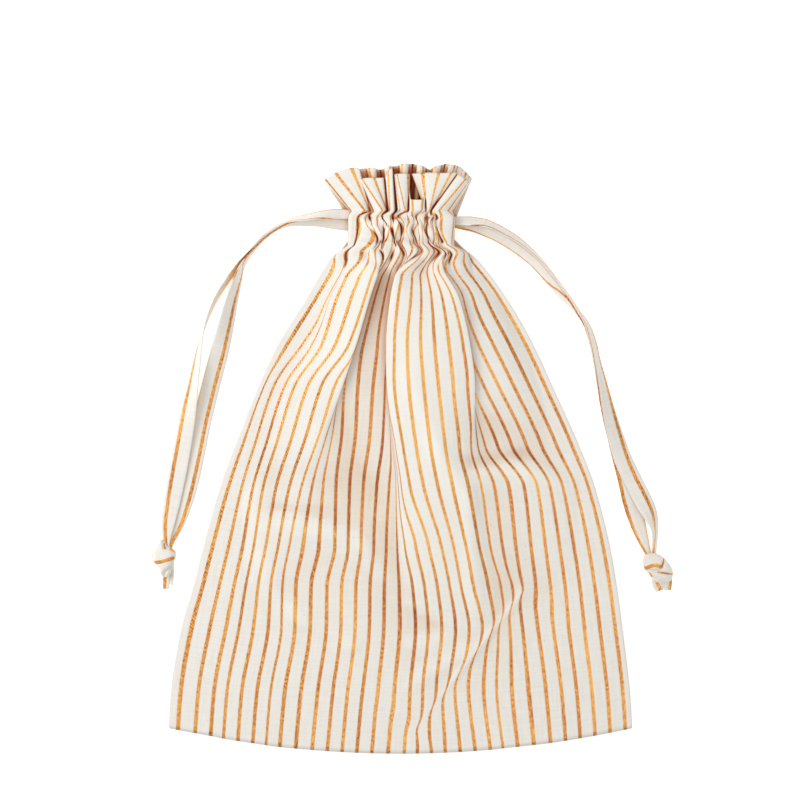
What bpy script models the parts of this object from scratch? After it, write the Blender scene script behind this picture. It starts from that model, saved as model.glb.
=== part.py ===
"""Drawstring cloth bag lying on its back, mouth drawn shut towards +Y.

Two cloth panels are sewn together down the sides and along the bottom.
A flat tape leaves each end of the casing as two strands, which meet in a knot.
The back panel lies on the plane Z = 0. The script works in metres.
"""
import math

import bmesh
import bpy
import numpy as np
from mathutils import Matrix, Vector

MM = 0.001

# Driving dimensions, in millimetres
CLOTH_THICKNESS = 1.0
SEW_GAP = 0.3
TAPE_THICKNESS = 1.2
BOTTOM_EDGE_Y = -191.5
BOTTOM_EDGE_RISE = 16.5
CASING_LOW_Y = 136.5
CASING_HIGH_Y = 156.5
CASING_PUFF = 0.7
GATHER_FADE = 27.0
FRONT_EDGE_Z = 1.5 * CLOTH_THICKNESS + SEW_GAP
BACK_Z = 0.5 * CLOTH_THICKNESS
NECK_EDGE_Z = 5.8
NECK_CROWN = 7.2
BACK_PLEAT_HEIGHT = 5.6
BACK_PLEAT_END_Y = 12.0
BACK_INSET = 0.5
SIDE_ROLL = 2.5
RIDGE_SHOULDER = 3.0
RIDGE_LIP = 1.0
KNOT_GROOVE = 0.09
KNOT_BANDS = 2.5
KNOT_SLANT = Vector((1.0, 0.45, 0.2))
KNOT_SINK = 0.5

# The cloth's width is counted in stripes: the first stripe is 0, the last is 30
CLOTH_LEFT = -0.6
CLOTH_RIGHT = 30.5
FLANK_CLOTH = (0.3, 2.7)
HOLLOW_CLOTH = (17.8, 19.6)

# Silhouette, a row for each height: y, left x, right x
OUTLINE = (
    (156.5, -33.0, 35.5),
    (143.0, -33.5, 35.0),
    (136.5, -38.0, 41.0),
    (127.0, -46.5, 50.5),
    (102.5, -61.0, 69.0),
    (73.0, -79.5, 86.0),
    (47.0, -91.5, 98.0),
    (8.0, -107.0, 115.5),
    (-18.0, -116.5, 125.5),
    (-57.0, -127.5, 135.5),
    (-83.0, -134.0, 140.0),
    (-109.0, -141.5, 143.5),
    (-151.0, -148.5, 148.5),
    (-175.0, -150.0, 150.0),
    (-191.5, -150.5, 150.5),
)

# Places of the folds, a row for each height, x in mm:
# y, flank foot and top, left tuck ridge and floor, middle tuck floor and ridge,
# hollow's two sides, right tuck ridge and floor
PLAN = (
    (127.0, -35.5, -32.0, -11.5, -10.5, -2.5, -1.5, 8.0, 14.0, 23.0, 25.5),
    (102.5, -51.5, -44.0, -21.0, -20.0, -8.0, -7.0, 6.0, 17.0, 38.0, 43.0),
    (73.0, -69.0, -53.5, -26.0, -25.5, -11.5, -10.0, 2.5, 18.0, 45.0, 46.5),
    (47.0, -86.5, -71.0, -34.5, -32.0, -9.5, -9.0, 3.5, 20.5, 48.0, 50.0),
    (8.0, -100.0, -83.5, -52.5, -42.0, -6.0, -3.5, 8.0, 25.0, 46.0, 57.5),
    (-18.0, -108.0, -91.5, -61.5, -44.5, -4.0, 0.5, 13.0, 29.5, 52.5, 76.0),
    (-57.0, -118.0, -97.5, -70.0, -44.5, -4.5, 3.5, 25.0, 38.5, 58.5, 80.0),
    (-83.0, -124.5, -103.0, -74.5, -50.0, -5.5, 9.0, 30.5, 42.5, 64.0, 83.0),
    (-109.0, -131.0, -107.5, -75.0, -50.5, -6.0, 11.0, 33.0, 48.0, 66.0, 85.0),
    (-151.0, -138.5, -115.5, -82.0, -56.0, -10.0, 6.5, 28.0, 41.5, 63.5, 90.0),
    (-191.5, -141.5, -118.5, -85.5, -60.0, -13.5, 4.0, 28.0, 45.0, 67.5, 93.5),
)

# Which stripe of the cloth lies at each side of the three tucks:
# y, left ridge and floor, middle floor and ridge, right ridge and floor
CLOTH = (
    (127.0, 5.4, 9.8, 11.3, 16.5, 22.5, 27.6),
    (102.5, 5.3, 9.8, 11.3, 16.45, 22.55, 27.7),
    (73.0, 5.55, 9.85, 11.25, 16.3, 22.5, 26.8),
    (47.0, 6.55, 9.4, 11.75, 16.5, 22.5, 25.8),
    (8.0, 6.15, 8.75, 12.5, 16.45, 21.9, 24.6),
    (-18.0, 6.15, 8.75, 13.2, 16.4, 21.9, 24.6),
    (-57.0, 6.1, 8.75, 13.5, 15.3, 21.9, 24.6),
    (-191.5, 6.1, 8.75, 13.5, 15.3, 21.9, 24.6),
)

# Height of the cloth over the floor, in mm:
# y, flank foot and top, left ridge, channel floor, middle ridge, hollow's two sides,
# right ridge, right floor
HEIGHT = (
    (127.0, 8.0, 12.0, 16.0, 10.0, 17.0, 11.0, 11.0, 16.5, 9.5),
    (102.5, 6.5, 12.5, 17.0, 8.5, 18.5, 17.0, 16.5, 18.0, 8.5),
    (73.0, 5.0, 11.5, 17.0, 7.5, 19.0, 19.0, 19.0, 18.0, 7.5),
    (47.0, 4.0, 9.5, 15.5, 6.5, 18.5, 19.0, 18.5, 17.0, 6.5),
    (8.0, 3.5, 7.0, 12.5, 6.0, 16.5, 17.0, 17.0, 14.0, 6.0),
    (-18.0, 3.5, 6.0, 9.5, 6.0, 14.5, 15.5, 15.0, 11.0, 6.5),
    (-57.0, 3.2, 5.5, 6.5, 5.5, 10.5, 11.5, 11.0, 7.5, 6.0),
    (-83.0, 3.2, 5.0, 5.5, 5.0, 7.5, 9.0, 8.5, 6.0, 5.5),
    (-109.0, 3.0, 4.5, 5.0, 4.5, 6.0, 7.0, 6.5, 5.0, 5.0),
    (-151.0, 2.5, 3.5, 4.0, 4.0, 4.5, 4.5, 4.5, 4.0, 4.0),
    (-191.5, 1.8, 1.8, 1.8, 1.8, 1.8, 1.8, 1.8, 1.8, 1.8),
)

# Turn of a tuck's cloth from its ridge to its floor, as shares of the whole:
# way across, reach back under the ridge, drop, cloth used
TUCK_TURN = (
    (0.35, 0.8, 0.45, 0.4),
    (0.7, 1.0, 0.88, 0.75),
)

# How far each tuck's cloth reaches back under its ridge: y, left, middle, right
TUCK = (
    (127.0, 2.5, 2.5, 2.5),
    (102.5, 4.5, 4.5, 4.5),
    (73.0, 5.0, 5.0, 5.0),
    (47.0, 3.5, 3.0, 4.0),
    (8.0, 0.0, 0.0, 0.5),
    (-191.5, 0.0, 0.0, 0.0),
)

# Valleys of the front pleats, from left to right: stripe of the cloth, x in the casing,
# x and y at the top edge, half depth of the pleat that follows, lift of the valley
FRONT_PLEATS = (
    (-0.6, -33.0, -49.5, 179.5, 0.8, 0.0),
    (1.4, -25.0, -28.5, 187.0, 2.6, 0.6),
    (4.1, -20.0, -22.5, 180.0, 3.0, -0.4),
    (6.9, -14.5, -15.5, 180.5, 3.7, 0.6),
    (9.7, -8.0, -8.5, 180.5, 3.8, -1.2),
    (12.2, -3.0, -4.0, 183.0, 3.2, 0.4),
    (14.6, 1.5, 3.0, 183.0, 3.0, 0.5),
    (17.0, 6.0, 6.5, 181.5, 3.5, -0.8),
    (19.5, 10.5, 13.0, 183.5, 3.6, -0.9),
    (22.0, 16.0, 16.5, 183.5, 3.4, 0.5),
    (24.7, 21.0, 31.0, 183.5, 2.8, 0.2),
    (27.6, 26.5, 35.5, 182.5, 1.0, 0.0),
    (30.5, 35.5, 42.5, 179.0, 0.0, 0.0),
)

# Valleys of the back pleats, the same columns; the last but one is the share of the full height
BACK_PLEATS = (
    (-0.6, -33.0, -49.0, 179.0, 0.3, 0.0),
    (3.0, -24.5, -36.0, 185.0, 0.8, 0.0),
    (6.5, -17.0, -24.5, 188.0, 1.0, 0.0),
    (10.0, -9.5, -13.0, 187.0, 1.0, 0.0),
    (13.5, -2.0, -3.0, 189.5, 1.0, 0.0),
    (17.0, 5.5, 8.0, 191.0, 1.0, 0.0),
    (20.5, 13.0, 19.0, 187.0, 1.0, 0.0),
    (24.0, 20.5, 29.0, 191.0, 0.8, 0.0),
    (27.5, 28.0, 39.0, 189.0, 0.3, 0.0),
    (30.5, 35.5, 46.5, 181.5, 0.0, 0.0),
)

# Small soft creases of the front: x and y of both ends, half width, height of the ridge
CREASES = (
    (81.0, -84.0, 19.0, -160.0, 5.0, 1.8),
    (-12.0, -86.5, -2.0, -88.5, 4.5, -1.3),
    (58.0, 2.0, 112.0, -14.0, 6.0, -0.9),
    (44.0, 119.0, 54.0, 106.0, 3.5, -0.8),
    (-112.0, -95.0, -55.0, -150.0, 9.0, 0.8),
)

# Heights of the mesh rows at the middle of the cloth, from the bottom edge to the casing's foot
FRONT_ROWS = (-191.5, -188.0, -178.0, -158.0, -136.0, -112.0, -90.0, -70.0, -48.0, -28.0, -10.0,
              8.0, 26.0, 44.0, 60.0, 76.0, 90.0, 103.0, 114.0, 122.0, 130.0)
BACK_ROWS = (-191.5, -168.0, -140.0, -110.0, -80.0, -52.0, -26.0, -4.0, 15.0, 34.0, 52.0, 70.0,
             88.0, 104.0, 118.0, 129.0)
FRONT_COLUMNS_PER_PLEAT = 6
BACK_COLUMNS_PER_PLEAT = 4
HEADING_ROWS = 4

# Route of each strand of tape, from the casing to its knot:
# x, y, height of the lower side, turn of the tape about its length in degrees, width
LEFT_OUTER = (
    (-31.0, 152.5, 2.8, 0.0, 9.0),
    (-39.5, 154.5, 2.2, 8.0, 11.0),
    (-52.5, 155.5, 1.4, 28.0, 12.0),
    (-65.5, 154.0, 0.9, 50.0, 12.0),
    (-78.5, 149.5, 0.4, 62.0, 12.0),
    (-90.0, 142.0, 0.3, 66.0, 12.0),
    (-100.0, 131.5, 0.3, 70.0, 12.0),
    (-108.0, 121.0, 0.2, 74.0, 12.0),
    (-116.0, 110.0, 0.0, 78.0, 12.0),
    (-122.5, 98.0, 0.0, 78.0, 12.0),
    (-127.0, 85.0, 0.0, 74.0, 12.0),
    (-130.0, 71.0, 0.0, 62.0, 12.0),
    (-133.0, 56.0, 0.0, 40.0, 12.0),
    (-136.0, 38.0, 0.6, 14.0, 12.0),
    (-142.0, 8.0, 1.5, 4.0, 12.0),
    (-146.0, -18.0, 1.5, 2.0, 12.0),
    (-149.0, -36.0, 1.7, 0.0, 10.0),
    (-151.4, -52.4, 3.2, 0.0, 6.0),
)
LEFT_INNER = (
    (-31.0, 150.5, 1.3, 0.0, 9.0),
    (-40.5, 151.5, 0.7, 8.0, 11.0),
    (-53.5, 152.0, 0.0, 28.0, 12.0),
    (-66.0, 150.5, 0.0, 50.0, 12.0),
    (-77.5, 146.0, 0.0, 62.0, 12.0),
    (-88.0, 138.5, 0.0, 66.0, 12.0),
    (-96.5, 128.5, 0.0, 66.0, 12.0),
    (-103.0, 117.5, 0.0, 58.0, 12.0),
    (-109.0, 102.5, 0.0, 40.0, 12.0),
    (-115.5, 79.5, 0.0, 18.0, 12.0),
    (-122.0, 53.5, 0.0, 6.0, 12.0),
    (-126.5, 34.0, 0.0, 0.0, 12.0),
    (-131.5, 9.5, 0.0, 0.0, 12.0),
    (-137.5, -16.0, 0.0, 0.0, 12.0),
    (-143.5, -36.0, 0.0, 0.0, 9.0),
    (-148.8, -54.0, 1.6, 0.0, 5.0),
)
RIGHT_OUTER = (
    (33.0, 152.5, 2.8, 0.0, 5.0),
    (44.0, 152.5, 2.2, -12.0, 7.0),
    (56.0, 150.5, 1.4, -30.0, 10.0),
    (69.0, 144.0, 0.9, -40.0, 12.0),
    (82.0, 134.5, 0.6, -44.0, 12.0),
    (94.5, 122.0, 0.5, -46.0, 12.0),
    (105.5, 108.5, 0.5, -54.0, 12.0),
    (115.0, 94.5, 0.4, -64.0, 12.0),
    (122.0, 80.0, 0.6, -58.0, 12.0),
    (127.5, 62.0, 1.7, -40.0, 12.0),
    (133.0, 39.5, 2.1, -18.0, 12.0),
    (140.0, 13.5, 1.8, -4.0, 12.0),
    (149.0, -11.5, 1.7, 0.0, 12.0),
    (157.5, -29.0, 1.0, -20.0, 12.0),
    (163.0, -44.0, 0.0, -62.0, 11.0),
    (164.6, -59.6, 0.2, -60.0, 7.0),
)
RIGHT_INNER = (
    (33.0, 151.0, 1.3, 0.0, 5.0),
    (43.0, 150.5, 0.7, -12.0, 7.0),
    (54.5, 147.5, 0.0, -30.0, 10.0),
    (67.0, 141.0, 0.0, -40.0, 12.0),
    (79.5, 131.5, 0.0, -44.0, 12.0),
    (92.0, 119.5, 0.0, -46.0, 12.0),
    (103.0, 106.0, 0.0, -54.0, 12.0),
    (112.5, 92.5, 0.0, -64.0, 12.0),
    (119.5, 77.5, 0.0, -58.0, 12.0),
    (125.5, 59.5, 0.0, -40.0, 12.0),
    (131.5, 37.5, 0.0, -18.0, 12.0),
    (138.0, 12.0, 0.0, -4.0, 12.0),
    (144.0, -10.0, 0.0, 0.0, 12.0),
    (149.0, -29.0, 0.0, 0.0, 11.0),
    (154.5, -45.0, 0.0, 0.0, 8.0),
    (160.2, -61.4, 1.9, 0.0, 5.0),
)
TAPE_STEPS = 28
TAIL_STEPS = 4

# Short free ends below the knots: the same columns as the strands
LEFT_TAIL_OUTER = (
    (-153.0, -69.7, 1.6, 6.0, 5.0),
    (-152.5, -79.0, 0.0, 6.0, 6.0),
    (-152.0, -86.0, 0.0, 4.0, 5.0),
)
LEFT_TAIL_INNER = (
    (-148.9, -69.3, 1.4, 70.0, 5.0),
    (-147.8, -77.5, 0.4, 74.0, 6.0),
    (-148.0, -83.5, 0.0, 76.0, 6.0),
)
RIGHT_TAIL_OUTER = (
    (172.3, -77.8, 1.7, -8.0, 6.0),
    (173.8, -83.5, 0.0, -6.0, 7.0),
    (174.5, -87.0, 0.0, -4.0, 6.0),
)
RIGHT_TAIL_INNER = (
    (165.4, -78.7, 1.5, 8.0, 6.0),
    (166.3, -84.0, 0.0, 6.0, 7.0),
    (167.5, -87.5, 0.0, 4.0, 6.0),
)

# Knots: centre x and y, half length, half width, height, turn of the long axis in degrees
LEFT_KNOT = (-153.5, -61.0, 9.3, 8.0, 11.0, 100.0)
RIGHT_KNOT = (166.5, -69.3, 10.4, 8.4, 11.5, 118.0)

CLOTH_COLOUR = (0.80, 0.77, 0.70, 1.0)
TAPE_COLOUR = (0.78, 0.73, 0.64, 1.0)


def clear_scene():
    for item in list(bpy.data.objects):
        bpy.data.objects.remove(item, do_unlink=True)


def cotton(name, colour):
    """Matt woven cotton."""
    material = bpy.data.materials.new(name)
    material.use_nodes = True
    shader = material.node_tree.nodes["Principled BSDF"]
    shader.inputs["Base Color"].default_value = colour
    shader.inputs["Roughness"].default_value = 0.85
    shader.inputs["Metallic"].default_value = 0.0
    material.diffuse_color = colour
    return material


def ease(value):
    """Smooth step from 0 to 1, held beyond both ends."""
    value = np.clip(value, 0.0, 1.0)
    return value * value * (3.0 - 2.0 * value)


def read_table(table, y):
    """Row of a table at height y: smooth between rows, never past their values."""
    rows = np.array(sorted(table))
    stations = rows[:, 0]
    values = rows[:, 1:]
    y = min(max(y, stations[0]), stations[-1])
    steps = np.diff(stations)[:, None]
    rises = np.diff(values, axis=0) / steps
    both = rises[:-1] * rises[1:]
    total = rises[:-1] + rises[1:]
    inner = np.where(both > 0.0, 2.0 * both / np.where(total == 0.0, 1.0, total), 0.0)
    slopes = np.vstack([rises[:1], inner, rises[-1:]])
    low = min(int(np.searchsorted(stations, y, side="right")) - 1, len(stations) - 2)
    step = steps[low, 0]
    part = (y - stations[low]) / step
    return (values[low] * (1 + 2 * part) * (1 - part) ** 2
            + slopes[low] * step * part * (1 - part) ** 2
            + values[low + 1] * (3 - 2 * part) * part ** 2
            - slopes[low + 1] * step * (1 - part) * part ** 2)


def tuck_points(start, end, reach):
    """Points of the cloth that drops from a ridge, runs back under it and comes out on the floor.

    start and end are (x, z, cloth) of the ridge and of the floor. reach is signed, and
    it points away from the floor.
    """
    (x0, z0, c0) = start
    (x1, z1, c1) = end
    lip = -math.copysign(min(abs(reach), RIDGE_LIP), reach)
    points = [(x0 + lip, z0 + (z1 - z0) * 0.08, c0 + (c1 - c0) * 0.1)]
    for across, back, drop, used in TUCK_TURN:
        points.append((x0 + (x1 - x0) * across + reach * back, z0 + (z1 - z0) * drop, c0 + (c1 - c0) * used))
    return points


def body_points(y):
    """Control points (x, z, cloth) of the front's section at height y, from left to right."""
    left, right = read_table(OUTLINE, y)
    f0, f1, xl0, xl1, xm0, xm1, xc0, xc1, xr0, xr1 = read_table(PLAN, y)
    cl0, cl1, cm0, cm1, cr0, cr1 = read_table(CLOTH, y)
    zf0, zf1, zl, zfloor, zm, zc0, zc1, zr, zright = read_table(HEIGHT, y)
    reach_l, reach_m, reach_r = read_table(TUCK, y)
    edge = FRONT_EDGE_Z
    points = [
        (left, edge, CLOTH_LEFT),
        (left + SIDE_ROLL, edge + 0.45 * (zf0 - edge), CLOTH_LEFT + 0.3),
        (f0, zf0, FLANK_CLOTH[0]),
        (f1, zf1, FLANK_CLOTH[1]),
        ((f1 + xl0) / 2, (zf1 + zl) / 2 + 0.08 * (zl - edge), (FLANK_CLOTH[1] + cl0) / 2),
        (xl0 - RIDGE_SHOULDER, zl, cl0 - 0.33),
    ]
    points += tuck_points((xl0, zl, cl0), (xl1, zfloor, cl1), -reach_l)
    points += [
        (xl1 + 0.5, zfloor, cl1),
        ((xl1 + xm0) / 2, zfloor - 0.2, (cl1 + cm0) / 2),
        (xm0 - 0.5, zfloor, cm0),
    ]
    points += tuck_points((xm1, zm, cm1), (xm0, zfloor, cm0), reach_m)[::-1]
    points += [
        (xm1 + RIDGE_SHOULDER, zm + 0.5, cm1 + 0.33),
        (xc0, zc0, HOLLOW_CLOTH[0]),
        (xc1, zc1, HOLLOW_CLOTH[1]),
        ((xc1 + xr0) / 2, (zc1 + zr) / 2 + 0.4, (HOLLOW_CLOTH[1] + cr0) / 2),
        (xr0 - RIDGE_SHOULDER, zr, cr0 - 0.33),
    ]
    points += tuck_points((xr0, zr, cr0), (xr1, zright, cr1), -reach_r)
    points += [
        (xr1 + 1.0, zright, cr1),
        ((xr1 + right) / 2, zright * 0.9 + 0.4, (cr1 + CLOTH_RIGHT) / 2),
        (right - SIDE_ROLL, edge + 0.25 * (zright - edge), CLOTH_RIGHT - 0.3),
        (right, edge, CLOTH_RIGHT),
    ]
    return np.array(points)


def spline(points, steps_per_point=10):
    """Uniform cubic B-spline that starts and ends on the first and last point."""
    padded = np.vstack([points[:1]] * 2 + [points] + [points[-1:]] * 2)
    places = np.linspace(0.0, len(padded) - 3.0, (len(padded) - 3) * steps_per_point + 1)
    first = np.minimum(places.astype(int), len(padded) - 4)
    t = (places - first)[:, None]
    return ((1 - t) ** 3 * padded[first]
            + (3 * t ** 3 - 6 * t ** 2 + 4) * padded[first + 1]
            + (-3 * t ** 3 + 3 * t ** 2 + 3 * t + 1) * padded[first + 2]
            + t ** 3 * padded[first + 3]) / 6.0


def body_section(y, columns):
    """x and z of the front's folds at height y, for each cloth column."""
    curve = spline(body_points(y))
    return (np.interp(columns, curve[:, 2], curve[:, 0]),
            np.interp(columns, curve[:, 2], curve[:, 1]))


def pleat_columns(pleats, per_pleat):
    """Cloth columns, the same number in each pleat, both outer edges included."""
    valleys = [row[0] for row in pleats]
    columns = [low + (high - low) * step / per_pleat
               for low, high in zip(valleys, valleys[1:]) for step in range(per_pleat)]
    return np.array(columns + [valleys[-1]])


def pleat_wave(pleats, columns):
    """For each column: its pleat's number, its place across it and the wave's height, -1 to 1."""
    valleys = np.array([row[0] for row in pleats])
    index = np.clip(np.searchsorted(valleys, columns, side="right") - 1, 0, len(valleys) - 2)
    part = (columns - valleys[index]) / (valleys[index + 1] - valleys[index])
    across = part + 0.42 * np.sin(4.0 * math.pi * part) / (2.0 * math.pi)
    return index, across, -np.cos(2.0 * math.pi * part)


def drawn_section(pleats, columns, flare):
    """The drawn pleats; flare is 0 in the casing and 1 at the top edge.

    Gives x, the place from -1 at the left side to 1 at the right, the wave's height, the
    pleat's depth and the lift of the cloth.
    """
    index, across, wave = pleat_wave(pleats, columns)
    valleys = np.array([row[1] + (row[2] - row[1]) * flare for row in pleats])
    depth = np.array([row[4] for row in pleats])
    lift = np.array([row[5] for row in pleats])
    x = valleys[index] + (valleys[index + 1] - valleys[index]) * across
    middle = 2.0 * (x - valleys[0]) / (valleys[-1] - valleys[0]) - 1.0
    return x, middle, wave, depth[index], lift[index] + (lift[index + 1] - lift[index]) * across


def front_neck_z(middle, wave, depth, lift):
    """Height of the front panel's pleats: highest at the middle of the neck."""
    return NECK_EDGE_Z + NECK_CROWN * (1.0 - middle ** 2) + depth * wave + lift


def back_neck_z(middle, wave, share, lift):
    """Height of the back panel's pleats, whose valleys stay on the floor."""
    height = BACK_PLEAT_HEIGHT * (1.0 - middle ** 2) * share
    return BACK_Z + lift + height * (1.0 + wave) / 2.0


def front_section(y, columns):
    """x and z of the front panel at height y, below the casing's top."""
    x, middle, wave, depth, lift = drawn_section(FRONT_PLEATS, columns, 0.0)
    left, right = read_table(OUTLINE, y)
    x = left + (right - left) * (x - x[0]) / (x[-1] - x[0])
    casing = np.clip((y - CASING_LOW_Y) / (CASING_HIGH_Y - CASING_LOW_Y), 0.0, 1.0)
    puff = CASING_PUFF * math.sin(math.pi * casing)
    z = front_neck_z(middle, wave, depth, lift) + puff
    blend = ease((CASING_LOW_Y + 1.5 - y) / GATHER_FADE)
    body_x, body_z = body_section(y, columns)
    return x + (body_x - x) * blend, z + (body_z - z) * blend


def back_section(y, columns):
    """x and z of the back panel at height y, below the casing's top."""
    x, middle, wave, share, lift = drawn_section(BACK_PLEATS, columns, 0.0)
    left, right = read_table(OUTLINE, y)
    left += BACK_INSET
    right -= BACK_INSET
    x = left + (right - left) * (x - x[0]) / (x[-1] - x[0])
    flat_x = left + (right - left) * (columns - CLOTH_LEFT) / (CLOTH_RIGHT - CLOTH_LEFT)
    fade = ease((y - BACK_PLEAT_END_Y) / (CASING_LOW_Y - BACK_PLEAT_END_Y))
    z = back_neck_z(middle, wave, share, lift)
    return flat_x + (x - flat_x) * fade, BACK_Z + (z - BACK_Z) * fade


def crease_lift(x, y):
    """Height that the small creases add to the front at (x, y)."""
    lift = 0.0
    for x0, y0, x1, y1, half_width, ridge in CREASES:
        run = math.hypot(x1 - x0, y1 - y0)
        along = ((x - x0) * (x1 - x0) + (y - y0) * (y1 - y0)) / run
        off = ((x - x0) * (y1 - y0) - (y - y0) * (x1 - x0)) / run
        beyond = max(-along, along - run, 0.0)
        lift += ridge * math.exp(-(off / half_width) ** 2 - (beyond / (1.5 * half_width)) ** 2)
    return lift


def body_rows(section, columns, row_heights):
    """Points of the rows from the bottom edge up to the casing's top."""
    spread = 2.0 * (columns - CLOTH_LEFT) / (CLOTH_RIGHT - CLOTH_LEFT) - 1.0
    levels = np.linspace(BOTTOM_EDGE_Y, CASING_HIGH_Y, 200)
    sections = [section(level, columns) for level in levels]
    x_of_level = np.array([row[0] for row in sections])
    z_of_level = np.array([row[1] for row in sections])
    casing_rows = (CASING_LOW_Y, (CASING_LOW_Y + CASING_HIGH_Y) / 2, CASING_HIGH_Y)
    rows = []
    for middle_y in row_heights + casing_rows:
        along = (CASING_LOW_Y - middle_y) / (CASING_LOW_Y - BOTTOM_EDGE_Y)
        y = middle_y + BOTTOM_EDGE_RISE * max(along, 0.0) * spread ** 2
        x = [np.interp(y[i], levels, x_of_level[:, i]) for i in range(len(columns))]
        z = [np.interp(y[i], levels, z_of_level[:, i]) for i in range(len(columns))]
        rows.append(list(zip(x, y, z)))
    return rows


def heading_rows(pleats, columns, z_of):
    """Points of the rows above the casing, flaring to the uneven top edge."""
    index, across, _ = pleat_wave(pleats, columns)
    tops = np.array([row[3] for row in pleats])
    top_y = tops[index] + (tops[index + 1] - tops[index]) * across
    rows = []
    for step in range(1, HEADING_ROWS + 1):
        flare = step / HEADING_ROWS
        x, middle, wave, depth, lift = drawn_section(pleats, columns, flare)
        y = CASING_HIGH_Y + (top_y - CASING_HIGH_Y) * flare
        rows.append(list(zip(x, y, z_of(middle, wave, depth, lift))))
    return rows


def cloth_sheet(name, rows, material):
    """One closed sheet of cloth over a grid of points, in millimetres."""
    mesh = bpy.data.meshes.new(name)
    build = bmesh.new()
    grid = [[build.verts.new(Vector(point) * MM) for point in row] for row in rows]
    for low, high in zip(grid, grid[1:]):
        for i in range(len(low) - 1):
            build.faces.new((low[i], low[i + 1], high[i + 1], high[i]))
    build.to_mesh(mesh)
    build.free()
    mesh.materials.append(material)
    mesh.shade_smooth()
    item = bpy.data.objects.new(name, mesh)
    bpy.context.scene.collection.objects.link(item)
    solid = item.modifiers.new("Cloth thickness", "SOLIDIFY")
    solid.thickness = CLOTH_THICKNESS * MM
    solid.offset = 0.0
    solid.use_quality_normals = True
    return item


def front_panel(material):
    columns = pleat_columns(FRONT_PLEATS, FRONT_COLUMNS_PER_PLEAT)
    rows = body_rows(front_section, columns, FRONT_ROWS)
    rows = [[(x, y, z + crease_lift(x, y)) for x, y, z in row] for row in rows]
    rows += heading_rows(FRONT_PLEATS, columns, front_neck_z)
    return cloth_sheet("front_panel", rows, material)


def back_panel(material):
    columns = pleat_columns(BACK_PLEATS, BACK_COLUMNS_PER_PLEAT)
    rows = body_rows(back_section, columns, BACK_ROWS)
    rows += heading_rows(BACK_PLEATS, columns, back_neck_z)
    return cloth_sheet("back_panel", rows, material)


def route_curve(route, steps):
    """Smooth rows along a strand: a Catmull-Rom curve through the route's own points."""
    points = np.array(route)
    padded = np.vstack([2 * points[0] - points[1], points, 2 * points[-1] - points[-2]])
    curve = []
    for place in np.linspace(0.0, len(points) - 1.0, steps + 1):
        i = min(int(place), len(points) - 2)
        t = place - i
        a, b, c, d = padded[i:i + 4]
        curve.append(0.5 * (2 * b + (c - a) * t + (2 * a - 5 * b + 4 * c - d) * t ** 2
                            + (3 * b - a - 3 * c + d) * t ** 3))
    return np.array(curve)


def tape(name, route, material, steps=TAPE_STEPS):
    """Flat folded tape along a route: six-sided section, width and turn read from the route."""
    curve = route_curve(route, steps)
    build = bmesh.new()
    rings = []
    for i, (x, y, low, turn, width) in enumerate(curve):
        ahead = curve[min(i + 1, steps)] - curve[max(i - 1, 0)]
        along = Vector((ahead[0], ahead[1], 0.0)).normalized()
        flat_side = Vector((0.0, 0.0, 1.0)).cross(along)
        spin = Matrix.Rotation(math.radians(turn), 3, along)
        wide = spin @ flat_side
        thick = along.cross(wide)
        half_w = width / 2
        half_t = TAPE_THICKNESS / 2
        rise = abs(wide.z) * half_w + abs(thick.z) * half_t
        centre = Vector((x, y, low + rise))
        corner = half_w - half_t
        section = ((-half_w, 0.0), (-corner, -half_t), (corner, -half_t),
                   (half_w, 0.0), (corner, half_t), (-corner, half_t))
        rings.append([build.verts.new((centre + wide * u + thick * v) * MM) for u, v in section])
    for low_ring, high_ring in zip(rings, rings[1:]):
        for k in range(6):
            build.faces.new((low_ring[k], low_ring[(k + 1) % 6], high_ring[(k + 1) % 6], high_ring[k]))
    build.faces.new(rings[0][::-1])
    build.faces.new(rings[-1])
    bmesh.ops.recalc_face_normals(build, faces=build.faces)
    mesh = bpy.data.meshes.new(name)
    build.to_mesh(mesh)
    build.free()
    mesh.materials.append(material)
    mesh.shade_smooth()
    mesh.set_sharp_from_angle(angle=math.radians(60))
    item = bpy.data.objects.new(name, mesh)
    bpy.context.scene.collection.objects.link(item)
    return item


def knot(name, sizes, material):
    """Overhand knot of tape: a lump with wound bands, resting on the floor."""
    x, y, half_length, half_width, height, turn = sizes
    build = bmesh.new()
    bmesh.ops.create_uvsphere(build, u_segments=20, v_segments=12, radius=1.0)
    for vertex in build.verts:
        p = vertex.co
        swell = 1.0 - KNOT_GROOVE * abs(math.sin(KNOT_BANDS * p.dot(KNOT_SLANT))) ** 3
        vertex.co = Vector((p.x * half_length * swell, p.y * half_width * swell, p.z * height / 2 * swell))
    spin = Matrix.Rotation(math.radians(turn), 4, "Z")
    lift = Matrix.Translation(Vector((x, y, height / 2 - KNOT_SINK)))
    bmesh.ops.transform(build, matrix=lift @ spin, verts=build.verts)
    for vertex in build.verts:
        vertex.co.z = max(vertex.co.z, 0.0)
    bmesh.ops.scale(build, vec=(MM, MM, MM), verts=build.verts)
    mesh = bpy.data.meshes.new(name)
    build.to_mesh(mesh)
    build.free()
    mesh.materials.append(material)
    mesh.shade_smooth()
    item = bpy.data.objects.new(name, mesh)
    bpy.context.scene.collection.objects.link(item)
    return item


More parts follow.
